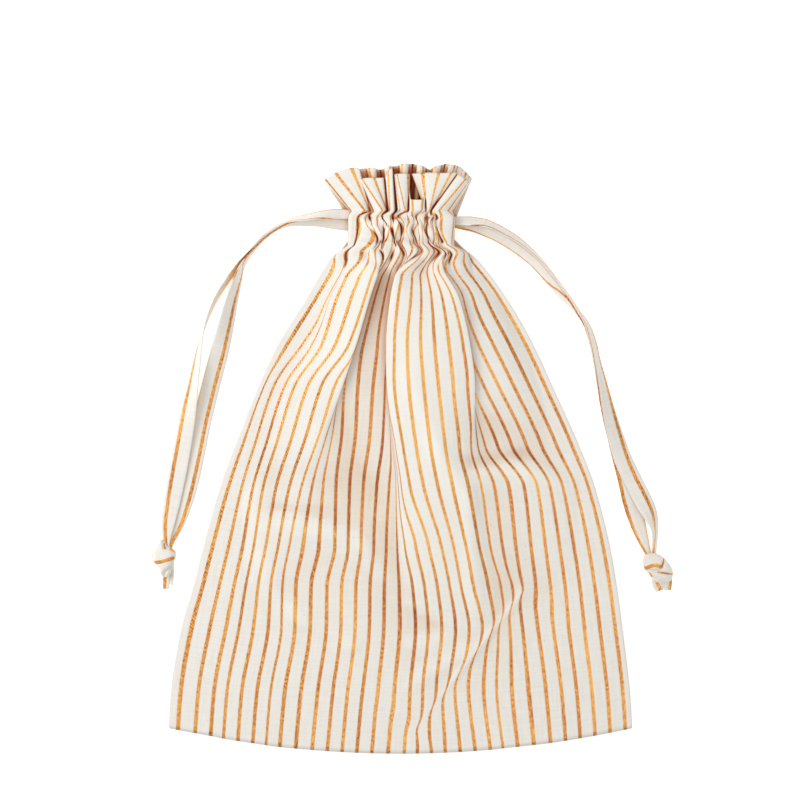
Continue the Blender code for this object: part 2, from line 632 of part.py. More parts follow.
def main():
    clear_scene()
    cloth = cotton("Striped cotton cloth", CLOTH_COLOUR)
    tie = cotton("Striped cotton tape", TAPE_COLOUR)
    front_panel(cloth)
    back_panel(cloth)
    tape("tie_left_outer", LEFT_OUTER, tie)
    tape("tie_left_inner", LEFT_INNER, tie)
    tape("tie_right_outer", RIGHT_OUTER, tie)
    tape("tie_right_inner", RIGHT_INNER, tie)
    tape("tail_left_outer", LEFT_TAIL_OUTER, tie, TAIL_STEPS)
    tape("tail_left_inner", LEFT_TAIL_INNER, tie, TAIL_STEPS)
    tape("tail_right_outer", RIGHT_TAIL_OUTER, tie, TAIL_STEPS)
    tape("tail_right_inner", RIGHT_TAIL_INNER, tie, TAIL_STEPS)
    knot("knot_left", LEFT_KNOT, tie)
    knot("knot_right", RIGHT_KNOT, tie)


main()
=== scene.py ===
"""Striped cotton drawstring bag, lying on its back with its mouth drawn shut.

The lengths in the tables are millimetres. X runs to the right of the bag, Y to its mouth, Z up.
The width of the cloth is counted in stripes: the first stripe is 0, the last is 30.
"""
import math

import bpy
import numpy as np
from bpy.props import FloatProperty, FloatVectorProperty, PointerProperty
from mathutils import Matrix, Vector


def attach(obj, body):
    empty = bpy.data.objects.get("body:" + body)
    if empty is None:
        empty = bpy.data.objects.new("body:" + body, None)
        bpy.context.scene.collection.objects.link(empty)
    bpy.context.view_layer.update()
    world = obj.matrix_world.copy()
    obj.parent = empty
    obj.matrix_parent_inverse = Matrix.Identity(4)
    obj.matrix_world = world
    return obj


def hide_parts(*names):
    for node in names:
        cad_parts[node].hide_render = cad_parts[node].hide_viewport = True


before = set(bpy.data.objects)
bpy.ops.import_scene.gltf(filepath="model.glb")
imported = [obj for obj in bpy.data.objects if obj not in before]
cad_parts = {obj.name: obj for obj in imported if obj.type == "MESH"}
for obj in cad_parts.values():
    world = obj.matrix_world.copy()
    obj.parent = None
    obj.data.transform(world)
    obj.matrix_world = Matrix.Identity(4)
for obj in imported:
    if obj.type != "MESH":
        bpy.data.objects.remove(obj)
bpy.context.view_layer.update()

bl_info = {
    "name": "Striped drawstring bag",
    "version": (1, 0, 0),
    "blender": (4, 5, 0),
    "location": "3D View > Sidebar > Drawstring bag",
    "description": "Dresses the solids of a drawstring bag in striped cotton",
    "category": "Object",
}

MM = 0.001

# Silhouette, a row for each height: y, left x, right x
OUTLINE = (
    (156.5, -33.0, 35.5),
    (143.0, -33.5, 35.0),
    (136.5, -38.0, 41.0),
    (127.0, -46.5, 50.5),
    (102.5, -61.0, 69.0),
    (73.0, -79.5, 86.0),
    (47.0, -91.5, 98.0),
    (8.0, -107.0, 115.5),
    (-18.0, -116.5, 125.5),
    (-57.0, -127.5, 135.5),
    (-83.0, -134.0, 140.0),
    (-109.0, -141.5, 143.5),
    (-151.0, -148.5, 148.5),
    (-175.0, -150.0, 150.0),
    (-191.5, -150.5, 150.5),
)

# Places of the folds, a row for each height, x in mm:
# y, flank foot and top, left tuck ridge and floor, middle tuck floor and ridge,
# hollow's two sides, right tuck ridge and floor
PLAN = (
    (127.0, -35.5, -32.0, -11.5, -10.5, -2.5, -1.5, 8.0, 14.0, 23.0, 25.5),
    (102.5, -51.5, -44.0, -19.5, -18.5, -8.0, -7.0, 6.0, 17.0, 38.0, 43.0),
    (73.0, -70.0, -53.5, -28.0, -26.5, -11.5, -10.0, 2.5, 18.0, 45.0, 46.5),
    (47.0, -87.0, -71.0, -37.0, -34.0, -9.5, -9.0, 3.5, 20.5, 48.0, 50.0),
    (8.0, -100.0, -83.5, -52.5, -42.0, -6.0, -3.5, 8.0, 25.0, 46.0, 57.5),
    (-18.0, -108.0, -91.5, -61.5, -44.5, -4.0, 0.5, 13.0, 29.5, 52.5, 76.0),
    (-57.0, -118.0, -97.5, -70.0, -44.5, -4.5, 3.5, 25.0, 38.5, 58.5, 80.0),
    (-83.0, -124.5, -103.0, -74.5, -50.0, -5.5, 9.0, 30.5, 42.5, 64.0, 83.0),
    (-109.0, -131.0, -107.5, -75.0, -50.5, -6.0, 11.0, 33.0, 48.0, 66.0, 85.0),
    (-151.0, -138.5, -115.5, -82.0, -56.0, -10.0, 6.5, 28.0, 41.5, 63.5, 90.0),
    (-191.5, -141.5, -118.5, -85.5, -60.0, -13.5, 4.0, 28.0, 45.0, 67.5, 93.5),
)

# Which stripe of the cloth lies at each side of the three tucks:
# y, left ridge and floor, middle floor and ridge, right ridge and floor
CLOTH = (
    (127.0, 5.4, 9.8, 11.3, 16.5, 22.5, 27.6),
    (102.5, 5.3, 9.8, 11.3, 16.45, 22.55, 27.7),
    (73.0, 5.55, 9.85, 11.25, 16.3, 22.5, 26.8),
    (47.0, 6.55, 9.4, 11.75, 16.5, 22.5, 25.8),
    (8.0, 6.15, 8.75, 12.5, 16.45, 21.9, 24.6),
    (-18.0, 6.15, 8.75, 13.2, 16.4, 21.9, 24.6),
    (-57.0, 6.1, 8.75, 13.5, 15.3, 21.9, 24.6),
    (-191.5, 6.1, 8.75, 13.5, 15.3, 21.9, 24.6),
)

# Height of the cloth over the floor, in mm:
# y, flank foot and top, left ridge, channel floor, middle ridge, hollow's two sides,
# right ridge, right floor
HEIGHT = (
    (127.0, 8.0, 12.0, 16.0, 10.0, 17.0, 11.0, 11.0, 16.5, 9.5),
    (102.5, 6.5, 11.5, 15.5, 8.5, 17.5, 17.0, 16.5, 18.0, 10.5),
    (73.0, 5.0, 10.5, 14.8, 9.0, 17.0, 19.0, 19.0, 17.0, 12.0),
    (47.0, 4.0, 8.5, 13.2, 8.8, 16.5, 18.5, 18.0, 15.5, 11.5),
    (8.0, 3.5, 7.0, 11.0, 8.0, 14.5, 16.0, 16.0, 12.5, 9.6),
    (-18.0, 3.5, 6.0, 9.5, 8.0, 12.5, 14.5, 14.0, 10.0, 8.4),
    (-57.0, 3.2, 5.5, 6.5, 5.5, 10.0, 11.0, 10.5, 7.8, 6.8),
    (-83.0, 3.2, 5.0, 5.5, 5.0, 7.5, 9.0, 8.5, 6.0, 5.5),
    (-109.0, 3.0, 4.5, 5.0, 4.5, 6.0, 7.0, 6.5, 5.0, 5.0),
    (-151.0, 2.5, 3.5, 4.0, 4.0, 4.5, 4.5, 4.5, 4.0, 4.0),
    (-191.5, 1.2, 1.2, 1.2, 1.2, 1.2, 1.2, 1.2, 1.2, 1.2),
)

# How far each tuck's cloth reaches back under its ridge: y, left flank, left, middle, right
TUCK = (
    (127.0, 0.6, 2.5, 2.5, 2.5),
    (102.5, 1.8, 4.5, 4.5, 4.5),
    (88.0, 3.2, 4.8, 4.8, 4.8),
    (73.0, 1.0, 5.0, 5.0, 5.0),
    (60.0, 0.0, 4.4, 4.2, 4.6),
    (47.0, 0.0, 3.5, 3.0, 4.0),
    (8.0, 0.0, 0.0, 0.0, 0.5),
    (-191.5, 0.0, 0.0, 0.0, 0.0),
)

# Turn of a tuck's cloth from its ridge to its floor, as shares of the whole:
# way across, reach back under the ridge, drop, cloth used
TUCK_TURN = (
    (0.35, 0.8, 0.45, 0.4),
    (0.7, 1.0, 0.88, 0.75),
)

# Gathers of the casing: stripe, x at its foot and at its top, z at its foot and at its top
CASING_FOLDS = (
    (-0.6, -33.8, -33.5, 5.4, 5.4),
    (0.0, -33.2, -33.2, 8.0, 8.0),
    (0.45, -30.0, -30.0, 10.2, 10.4),
    (1.0, -27.0, -25.2, 9.8, 10.0),
    (1.4, -25.4, -23.4, 6.5, 5.8),
    (2.1, -24.0, -20.4, 10.5, 12.0),
    (2.6, -21.0, -18.5, 12.0, 12.4),
    (3.1, -15.2, -17.0, 11.6, 11.0),
    (3.7, -13.6, -15.5, 9.5, 9.0),
    (4.6, -12.4, -12.2, 12.0, 14.0),
    (5.4, -10.8, -10.2, 11.5, 12.5),
    (6.9, -9.2, -7.4, 6.8, 6.5),
    (8.2, -6.6, -5.4, 14.5, 15.0),
    (8.9, -4.6, -4.0, 14.0, 14.4),
    (9.7, -2.8, -2.6, 8.5, 8.8),
    (10.9, -1.0, -0.8, 14.8, 15.4),
    (12.2, 1.3, 1.4, 9.5, 9.0),
    (13.2, 3.2, 3.6, 15.2, 15.8),
    (14.4, 6.6, 6.4, 14.6, 15.2),
    (15.9, 9.6, 9.6, 8.2, 9.0),
    (17.4, 12.2, 11.8, 14.8, 15.0),
    (18.6, 14.6, 13.6, 13.8, 14.2),
    (19.8, 16.6, 15.6, 8.0, 8.0),
    (21.2, 18.0, 17.2, 13.2, 13.8),
    (22.2, 19.4, 18.4, 12.6, 13.2),
    (24.5, 20.2, 19.0, 9.0, 9.5),
    (26.4, 20.6, 19.4, 11.5, 11.5),
    (27.0, 21.4, 20.0, 12.4, 12.6),
    (27.4, 23.2, 21.4, 7.0, 7.4),
    (27.75, 24.8, 23.2, 11.0, 11.0),
    (28.0, 26.3, 24.4, 11.4, 11.5),
    (28.7, 28.2, 30.6, 10.8, 10.8),
    (29.0, 29.3, 32.8, 10.0, 9.6),
    (30.0, 31.4, 34.2, 9.2, 7.4),
    (30.5, 34.8, 34.8, 5.4, 5.4),
)

# Flaps of the heading above the casing: stripe, x and z at the foot, z of the middle,
# x, z and y of the top edge
HEADING_FOLDS = (
    (-0.6, -32.5, 5.4, 6.0, -49.7, 6.5, 179.7),
    (0.0, -31.6, 8.0, 8.0, -48.6, 7.8, 180.2),
    (0.5, -28.0, 10.2, 9.6, -45.0, 9.0, 182.0),
    (1.0, -22.9, 11.6, 10.8, -41.9, 10.0, 183.8),
    (1.5, -21.2, 10.6, 11.2, -37.0, 10.8, 185.6),
    (2.0, -20.2, 9.0, 11.0, -31.5, 11.4, 186.9),
    (2.5, -19.6, 8.2, 10.0, -27.0, 11.6, 187.0),
    (2.8, -19.2, 8.0, 9.0, -26.3, 9.0, 181.0),
    (3.6, -18.4, 9.2, 8.6, -26.2, 8.0, 179.8),
    (4.5, -15.0, 13.0, 12.2, -26.0, 11.0, 179.8),
    (5.0, -11.6, 13.8, 13.2, -25.0, 12.0, 180.0),
    (5.5, -10.2, 13.0, 13.2, -20.5, 12.4, 180.4),
    (6.0, -9.1, 11.5, 12.2, -17.0, 12.2, 180.4),
    (6.5, -8.5, 9.5, 11.2, -12.6, 12.6, 180.4),
    (7.3, -8.0, 7.5, 9.0, -9.8, 10.0, 180.4),
    (7.7, -7.4, 11.0, 12.0, -9.2, 12.6, 181.6),
    (8.0, -6.5, 13.5, 13.6, -7.8, 13.4, 184.0),
    (8.7, -4.6, 14.0, 14.0, -5.8, 13.8, 186.4),
    (9.1, -3.4, 12.0, 12.0, -5.2, 12.2, 184.6),
    (9.7, -2.4, 7.5, 7.5, -4.6, 7.5, 182.4),
    (10.6, -1.2, 13.0, 12.5, -3.8, 12.5, 182.6),
    (12.0, 2.9, 13.8, 13.4, -2.4, 13.0, 182.9),
    (12.6, 4.4, 12.4, 13.0, 2.0, 13.2, 183.0),
    (13.2, 5.2, 10.5, 11.4, 5.4, 12.2, 182.9),
    (14.0, 5.6, 11.4, 10.0, 5.7, 10.0, 174.0),
    (14.7, 6.6, 14.2, 14.2, 6.4, 13.6, 166.6),
    (15.5, 11.0, 15.2, 15.0, 10.8, 14.4, 166.0),
    (16.3, 14.8, 14.6, 14.2, 15.4, 13.6, 166.4),
    (16.9, 15.9, 13.0, 9.0, 15.6, 9.0, 171.0),
    (17.6, 16.1, 11.6, 6.0, 11.0, 6.0, 180.0),
    (18.4, 16.3, 11.6, 9.6, 7.6, 10.4, 183.2),
    (19.0, 16.9, 12.6, 12.0, 14.6, 12.4, 183.4),
    (19.4, 17.6, 13.4, 13.4, 18.0, 13.2, 183.7),
    (20.0, 18.6, 13.2, 13.6, 24.8, 13.4, 183.4),
    (20.6, 19.2, 11.4, 13.0, 29.0, 13.4, 183.4),
    (21.0, 19.6, 9.6, 12.4, 32.8, 13.2, 183.6),
    (21.6, 20.0, 7.8, 11.0, 35.8, 12.4, 183.4),
    (22.6, 20.1, 7.4, 8.6, 36.4, 9.4, 182.6),
    (26.3, 20.2, 8.0, 8.8, 36.6, 9.6, 182.6),
    (27.0, 20.7, 12.2, 12.0, 37.0, 11.8, 182.6),
    (27.5, 22.6, 13.2, 12.8, 39.4, 12.4, 181.4),
    (28.0, 25.0, 12.6, 12.4, 42.0, 12.0, 179.6),
    (28.6, 28.5, 11.2, 11.0, 43.4, 11.0, 178.9),
    (29.2, 31.4, 9.2, 9.0, 44.2, 9.4, 178.6),
    (30.5, 33.4, 5.4, 5.6, 44.8, 6.2, 178.4),
)

# Valleys of the back pleats, from left to right: stripe of the cloth, x in the casing,
# x and y at the top edge, share of the full height of the pleat that follows
BACK_PLEATS = (
    (-0.6, -33.0, -49.0, 179.0, 0.3),
    (3.0, -24.5, -36.0, 185.0, 0.8),
    (6.5, -17.0, -24.5, 188.0, 1.0),
    (10.0, -9.5, -13.0, 187.0, 1.0),
    (13.5, -2.0, -3.0, 189.5, 1.0),
    (17.0, 5.5, 8.0, 191.0, 1.0),
    (20.5, 13.0, 19.0, 187.0, 1.0),
    (24.0, 20.5, 29.0, 191.0, 0.8),
    (27.5, 28.0, 39.0, 189.0, 0.3),
    (30.5, 35.5, 46.5, 181.5, 0.0),
)

# Creases and soft swells of the front: x and y of both ends, half width, height of the ridge,
# how far the cloth has slipped along X on the upper side
CREASES = (
    (77.7, -88.7, 11.4, -173.2, 3.9, 1.3, 3.0),
    (-18.5, -87.4, 7.5, -94.6, 2.0, 0.8, 0.0),
    (43.9, 119.3, 54.3, 106.3, 3.5, -0.8, 0.0),
    (-79.6, -32.8, -45.8, -36.7, 4.5, -1.9, 0.0),
    (-45.8, -36.7, -22.4, -44.5, 4.5, -1.9, 0.0),
    (-22.4, -44.5, -8.1, -66.6, 4.5, -1.9, 0.0),
    (-65.3, -14.6, -32.8, -21.1, 16.9, -2.2, 0.0),
    (-39.3, 24.4, -26.3, -14.6, 11.7, -1.5, 0.0),
    (-84.8, -44.5, -47.1, -49.1, 7.7, 1.1, 0.0),
    (-47.1, -49.1, -25.0, -57.5, 7.7, 1.1, 0.0),
    (-25.0, -57.5, -10.7, -77.0, 7.7, 1.1, 0.0),
    (46.5, -2.9, 79.0, 1.6, 4.5, -1.7, 0.0),
    (79.0, 1.6, 119.3, -10.7, 4.5, -1.7, 0.0),
    (64.7, 21.1, 101.1, 11.4, 16.9, -1.8, 0.0),
    (45.2, -13.3, 79.0, -9.4, 7.7, 1.1, 0.0),
    (79.0, -9.4, 118.0, -21.8, 7.7, 1.1, 0.0),
    (7.5, 50.4, 24.4, 3.6, 6.5, 1.2, 0.0),
    (24.4, 3.6, 43.9, -27.6, 6.5, 1.4, 0.0),
    (43.9, -27.6, 47.8, -99.1, 6.5, 1.5, 0.0),
    (-92.6, 24.4, -96.5, -34.1, 8.5, 1.1, 0.0),
    (-96.5, -34.1, -88.7, -70.5, 8.5, 1.1, 0.0),
    (-88.7, -70.5, -67.9, -103.0, 8.5, 1.1, 0.0),
    (-67.9, -103.0, -31.5, -119.9, 5.9, 1.5, 0.0),
    (-31.5, -119.9, 19.2, -119.9, 5.9, 1.0, 0.0),
    (-70.5, -84.8, -31.5, -93.9, 5.2, -1.6, 0.0),
    (-31.5, -93.9, 17.9, -108.2, 5.2, -1.8, 0.0),
    (-122.5, -121.9, -32.8, -124.5, 3.2, 1.1, 0.0),
    (-122.5, -114.7, -65.3, -118.6, 3.9, -0.9, 0.0),
    (-5.5, -153.7, 40.0, -126.4, 4.5, 1.4, 0.0),
    (-126.4, -136.8, -113.4, -161.5, 5.2, -0.8, 0.0),
)

# Heights along the bag, in mm: its bottom edge and how far that rises at the corners, the casing,
# the foot of the heading and the two lines of stitches
BOTTOM_EDGE_Y = -191.5
BOTTOM_EDGE_RISE = 16.5
CASING_LOW_Y = 136.5
CASING_HIGH_Y = 154.0
HEADING_FOOT_Y = 159.5
STITCH_LINES = (139.0, 154.5)

# Where the heading's middle heights lie, as a share of the way to its top edge
HEADING_MIDDLE = 0.4

# The cloth, in stripes: its edges, both sides of the flank and of the hollow, what a side's roll
# and a ridge's shoulder take up; and the distance between two stripes, in mm
CLOTH_LEFT = -0.6
CLOTH_RIGHT = 30.5
FLANK_CLOTH = (0.3, 2.7)
HOLLOW_CLOTH = (17.8, 19.6)
SIDE_CLOTH = 0.3
RIDGE_CLOTH = 0.33
PITCH = 9.65

# Section of the front, in mm; at a ridge's lip, shares of the drop and of the cloth; and the
# number of sections that the rows are read from
FRONT_EDGE_Z = 1.2
NECK_EDGE_Z = 5.4
SIDE_ROLL = 2.5
RIDGE_SHOULDER = 3.0
RIDGE_LIP = 1.0
LIP_DROP = 0.08
LIP_CLOTH = 0.1
SECTION_LEVELS = 300
CASING_BULGE = 0.8

# Small forms of that section: the rise of each side's roll as a share of the height beside it,
# the swell of the left flank, and in mm the channel's margin and sag, the rise beside the middle
# ridge and past the hollow, and the margin and the fall of the right flank
SIDE_RISE = (0.45, 0.25)
FLANK_SWELL = 0.08
CHANNEL_MARGIN = 0.5
CHANNEL_SAG = 0.2
SHOULDER_RISE = 0.5
HOLLOW_RISE = 0.4
RIGHT_MARGIN = 1.0
RIGHT_FALL = (0.9, 0.4)

# The body's folds give way to the neck's gathers: where each change starts over the casing's foot,
# and its length, in mm
SPREAD_START = 1.0
SPREAD_LENGTH = 6.0
GATHER_START = 1.5
GATHER_FADE = 21.0

# Back panel, in mm and shares
BACK_Z = 0.4
BACK_INSET = 0.5
BACK_PLEAT_HEIGHT = 5.0
BACK_PLEAT_END_Y = 12.0
BACK_PLEAT_LEAN = 0.42
BACK_PLEAT_FLARE = 0.5

# Creases, in mm: the slip of the cloth, and the fade past a crease's end in half widths
SLIP_STEP = 4.5
SLIP_REACH = 20.0
CREASE_END = 1.5

# Folds at the neck: how far below the stitching they are still at their full size, the length
# over which they fade, where they begin and the length over which they grow, all in mm;
# how far past the upper stitching they last; and where each side edge stays calm, in stripes
NECK_LOW = 18.0
NECK_FADE = 6.0
NECK_START = 34.0
NECK_RISE = 30.0
NECK_END = 1.0
CALM_LEFT = (0.3, 3.5)
CALM_RIGHT = (29.2, 2.5)

# Their sideways sway and fine ripple: length of a wave, turn from stripe to stripe, size in mm
GATHER_WAVE = 19.0
GATHER_TURN = 1.3
GATHER_WANDER = 2.3
GATHER_SWAY = 0.75
RIPPLE_HEIGHT = 0.7
RIPPLE_TURN = 1.9
RIPPLE_CLIMB = 0.5

# Cloth pulled in at the stitch lines and puffed out between them, in mm
STITCH_WIDTH = 1.7
STITCH_PULL = 1.6
PUFF = 1.3
PUFF_REACH = 5.0

# Valleys of the neck: how far below the stitching they are still fully closed, the heights of
# a floor and of a full fold, in mm, and the most that a fold counts
VALLEY_LOW = 3.0
FOLD_LOW = 7.0
FOLD_HIGH = 15.5
FOLD_MOST = 1.2

# How far the valleys close to slits and how full the bridges of cloth across them are, as shares,
# and the turn of the bridges along the bag and from stripe to stripe
VALLEY_SQUEEZE = 0.92
VALLEY_SHUT = 0.75
VALLEY_FILL = 0.7
BRIDGE_LEVEL = 0.8
BRIDGE_SWING = 0.9
BRIDGE_CLIMB = 0.42
BRIDGE_TURN = 2.1

# Rows and columns of the sheets; how many of them, to each side, the height of a fold is
# measured over, and over how many columns it fades in from the side edges
FRONT_COLUMNS = 256
BACK_COLUMNS = 180
BODY_ROWS = 84
BACK_ROWS = 90
SHOULDER_Y = 70.0
SHOULDER_ROWS = 50
CASING_ROWS = 20
HEADING_ROWS = 18
FOLD_ROWS = 13
FOLD_COLUMNS = 24
FOLD_EDGE_COLUMNS = 36

# Tape: rows of a strand and of a free end, how square its edges are, its seam's sink,
# and how thin the stripe under its other edge shows, beyond half the way between two stripes
STRAND_STEPS = 150
TAIL_STEPS = 16
TAPE_SQUARENESS = 8
SEAM_SINK = 0.8
EDGE_FINENESS = 2.2
HALF_WAY = 0.5

# How much of the painted shade of the folds goes on one layer of cloth, and on the stiffer folded
# tape
CLOTH_PAINTED_SHADE = 1.0
TAPE_PAINTED_SHADE = 0.1

# Route of each strand of tape, from the casing to its knot:
# x, y, height of the lower side, turn of the tape about its length in degrees, width,
# place of the stripe across the tape
LEFT_OUTER = (
    (-31.5, 157.6, 3.0, 20.0, 7.0, -4.2),
    (-42.6, 157.8, 2.6, 40.0, 9.0, -4.6),
    (-52.3, 157.0, 2.0, 58.0, 11.0, -4.8),
    (-62.1, 155.2, 1.4, 66.0, 12.0, -4.9),
    (-72.2, 153.6, 0.8, 74.0, 12.0, -4.9),
    (-81.2, 149.6, 0.4, 78.0, 12.0, -4.9),
    (-88.8, 143.8, 0.2, 84.0, 12.0, -4.9),
    (-95.6, 136.6, 0.0, 84.0, 12.0, -4.9),
    (-102.2, 128.5, 0.0, 94.0, 11.0, -4.9),
    (-108.2, 120.2, 0.0, 102.0, 9.5, -4.9),
    (-114.1, 112.1, 0.0, 105.0, 8.5, -4.6),
    (-119.6, 103.0, 0.0, 103.0, 8.0, -4.4),
    (-124.2, 92.6, 0.0, 96.0, 8.0, -4.4),
    (-127.4, 82.9, 0.0, 84.0, 9.0, -4.2),
    (-130.0, 71.8, 0.0, 68.0, 10.5, -3.0),
    (-132.3, 59.5, 0.2, 57.0, 11.5, -2.4),
    (-134.9, 45.2, 0.6, 42.0, 12.0, -2.4),
    (-138.1, 27.6, 1.2, 18.0, 12.0, -2.8),
    (-141.4, 8.1, 1.5, 6.0, 12.0, -3.0),
    (-145.0, -11.4, 1.5, 2.0, 12.0, -3.0),
    (-148.5, -29.6, 1.7, 0.0, 11.0, -2.4),
    (-150.8, -42.6, 2.4, 0.0, 9.0, -1.6),
    (-151.8, -54.3, 3.0, 0.0, 5.0, -0.4),
    (-151.5, -60.4, 3.4, 0.0, 4.0, 0.0),
)
LEFT_INNER = (
    (-31.5, 151.1, 1.4, -10.0, 8.0, -4.4),
    (-42.6, 152.3, 0.8, -22.0, 8.8, -3.8),
    (-52.3, 153.2, 0.2, -30.0, 8.0, -3.4),
    (-62.1, 152.7, 0.0, -45.0, 6.5, -3.0),
    (-71.4, 151.5, 0.0, -70.0, 6.0, -3.0),
    (-80.0, 147.8, 0.0, -90.0, 7.5, -3.6),
    (-87.6, 142.2, 0.0, -90.0, 9.0, -4.2),
    (-94.2, 135.3, 0.0, -88.0, 10.5, -4.6),
    (-100.2, 127.7, 0.0, -84.0, 12.0, -4.8),
    (-104.2, 119.7, 0.0, -74.0, 12.0, 4.0),
    (-106.6, 110.8, 0.0, -62.0, 12.0, 2.4),
    (-109.5, 100.4, 0.0, -50.0, 12.0, 2.2),
    (-113.4, 84.2, 0.0, -34.0, 12.0, 2.2),
    (-117.3, 68.6, 0.0, -18.0, 12.0, 2.4),
    (-123.5, 45.2, 0.0, -6.0, 12.0, 2.4),
    (-128.7, 24.4, 0.0, 0.0, 12.0, 2.6),
    (-132.6, 4.9, 0.0, 0.0, 12.0, 2.6),
    (-136.5, -13.3, 0.0, 0.0, 12.0, 2.6),
    (-140.4, -28.9, 0.0, 0.0, 11.0, 2.6),
    (-145.0, -43.2, 0.4, 0.0, 9.0, 2.4),
    (-149.5, -55.6, 1.8, 0.0, 5.0, 0.8),
    (-150.6, -61.0, 3.4, 0.0, 4.0, 0.4),
)
RIGHT_OUTER = (
    (32.2, 153.4, 3.8, -10.0, 5.0, 4.6),
    (40.0, 153.4, 3.2, -30.0, 7.0, 4.7),
    (47.8, 152.9, 2.2, -50.0, 10.0, 4.8),
    (56.2, 151.4, 1.8, -60.0, 12.0, 4.8),
    (65.3, 147.2, 1.4, -62.0, 12.0, 4.8),
    (75.7, 141.1, 1.0, -66.0, 12.0, 4.8),
    (85.4, 133.1, 0.7, -72.0, 12.0, 4.8),
    (94.3, 124.0, 0.5, -78.0, 12.0, 4.8),
    (101.7, 114.5, 0.5, -82.0, 12.0, 4.8),
    (108.9, 105.0, 0.5, -84.0, 12.0, 4.8),
    (114.7, 96.1, 0.5, -82.0, 12.0, 4.8),
    (120.6, 86.1, 1.0, -70.0, 12.0, 4.6),
    (124.5, 74.4, 1.2, -63.0, 12.0, 4.7),
    (127.0, 62.1, 1.4, -61.0, 12.0, 4.7),
    (130.1, 48.4, 1.7, -50.0, 12.0, 4.5),
    (133.9, 32.2, 2.0, -37.0, 12.0, 3.9),
    (139.0, 14.6, 2.0, -22.0, 12.0, 3.3),
    (144.6, -1.6, 1.8, -8.0, 12.0, 2.8),
    (150.5, -14.0, 1.7, 0.0, 12.0, 2.4),
    (156.7, -26.3, 1.5, -6.0, 12.0, 2.4),
    (161.8, -36.7, 1.0, -32.0, 12.0, 1.6),
    (164.8, -47.1, 0.6, -60.0, 11.0, -1.0),
    (164.5, -59.1, 0.6, -60.0, 7.0, -2.0),
    (163.8, -65.6, 3.0, -40.0, 4.0, -1.0),
)
RIGHT_INNER = (
    (32.2, 152.0, 1.2, 6.0, 4.0, -1.4),
    (40.0, 151.0, 0.8, 14.0, 6.0, -2.6),
    (48.0, 149.4, 0.3, 32.0, 7.4, -3.4),
    (57.2, 145.4, 0.0, 54.0, 9.0, -3.9),
    (66.4, 140.9, 0.0, 58.0, 10.0, -4.2),
    (76.2, 134.6, 0.0, 58.0, 10.0, -4.2),
    (85.9, 126.8, 0.0, 61.0, 9.8, -4.2),
    (93.3, 118.6, 0.0, 63.0, 9.8, -3.8),
    (98.2, 112.7, 0.0, 62.0, 9.6, -1.6),
    (103.0, 106.7, 0.0, 64.0, 9.4, 2.4),
    (108.9, 100.2, 0.0, 76.0, 9.0, 4.2),
    (114.4, 93.1, 0.0, 92.0, 8.5, 4.2),
    (119.1, 85.4, 0.0, 93.0, 8.0, 4.0),
    (122.8, 73.8, 0.0, 95.0, 7.5, 4.0),
    (125.4, 62.1, 0.0, 97.0, 7.2, 4.0),
    (129.0, 47.8, 0.0, 114.0, 7.8, 4.2),
    (133.9, 31.5, 0.0, 138.0, 10.0, 4.6),
    (139.2, 14.0, 0.0, 160.0, 11.4, 4.9),
    (143.8, -1.6, 0.0, 174.0, 12.0, 4.8),
    (147.2, -14.6, 0.0, 180.0, 12.0, 4.8),
    (149.8, -26.3, 0.0, 180.0, 12.0, 4.8),
    (152.8, -38.0, 0.2, 180.0, 11.0, 4.4),
    (156.7, -51.0, 1.2, 180.0, 8.0, 3.4),
    (160.6, -62.1, 2.2, 180.0, 4.0, 1.6),
    (162.0, -66.6, 3.4, 180.0, 3.4, 1.0),
)

# Short free ends below the knots: the same columns as the strands
LEFT_TAIL_OUTER = (
    (-151.9, -69.2, 2.2, 4.0, 4.2, -0.4),
    (-152.2, -77.7, 0.4, 4.0, 4.6, -0.6),
    (-152.5, -85.2, 0.0, 4.0, 4.0, -0.8),
)
LEFT_TAIL_INNER = (
    (-148.4, -69.2, 1.6, 30.0, 3.0, 4.8),
    (-148.4, -76.4, 0.2, 30.0, 3.0, 4.8),
    (-148.9, -82.5, 0.0, 30.0, 2.6, 4.8),
)
RIGHT_TAIL_OUTER = (
    (173.0, -76.4, 2.0, -6.0, 6.2, 2.0),
    (173.2, -81.6, 0.4, -6.0, 6.5, 2.2),
    (173.4, -86.0, 0.0, -4.0, 4.9, 1.6),
)
RIGHT_TAIL_INNER = (
    (166.0, -76.4, 1.8, 8.0, 6.2, -0.2),
    (166.6, -81.9, 0.2, 6.0, 6.4, 0.4),
    (168.3, -86.5, 0.0, 4.0, 5.1, 0.8),
)

# Knots seen from above, as x and y: outline
LEFT_KNOT_OUTLINE = (
    (-155.0, -52.7), (-158.3, -56.0), (-161.2, -59.5), (-161.5, -62.1), (-160.2, -66.3),
    (-157.6, -69.9), (-155.6, -73.1), (-154.4, -76.6), (-150.2, -77.2), (-147.7, -72.2),
    (-146.6, -66.6), (-145.3, -62.4), (-145.9, -60.5), (-148.5, -58.5), (-151.1, -56.9),
    (-153.1, -53.6),
)
RIGHT_KNOT_OUTLINE = (
    (157.0, -65.3), (157.0, -69.2), (158.3, -72.8), (160.9, -75.1), (162.2, -78.0),
    (165.4, -80.3), (170.0, -80.6), (174.8, -79.6), (176.5, -75.7), (175.8, -71.8),
    (173.2, -67.9), (170.0, -64.4), (166.1, -62.1), (160.9, -61.8), (157.6, -63.1),
)

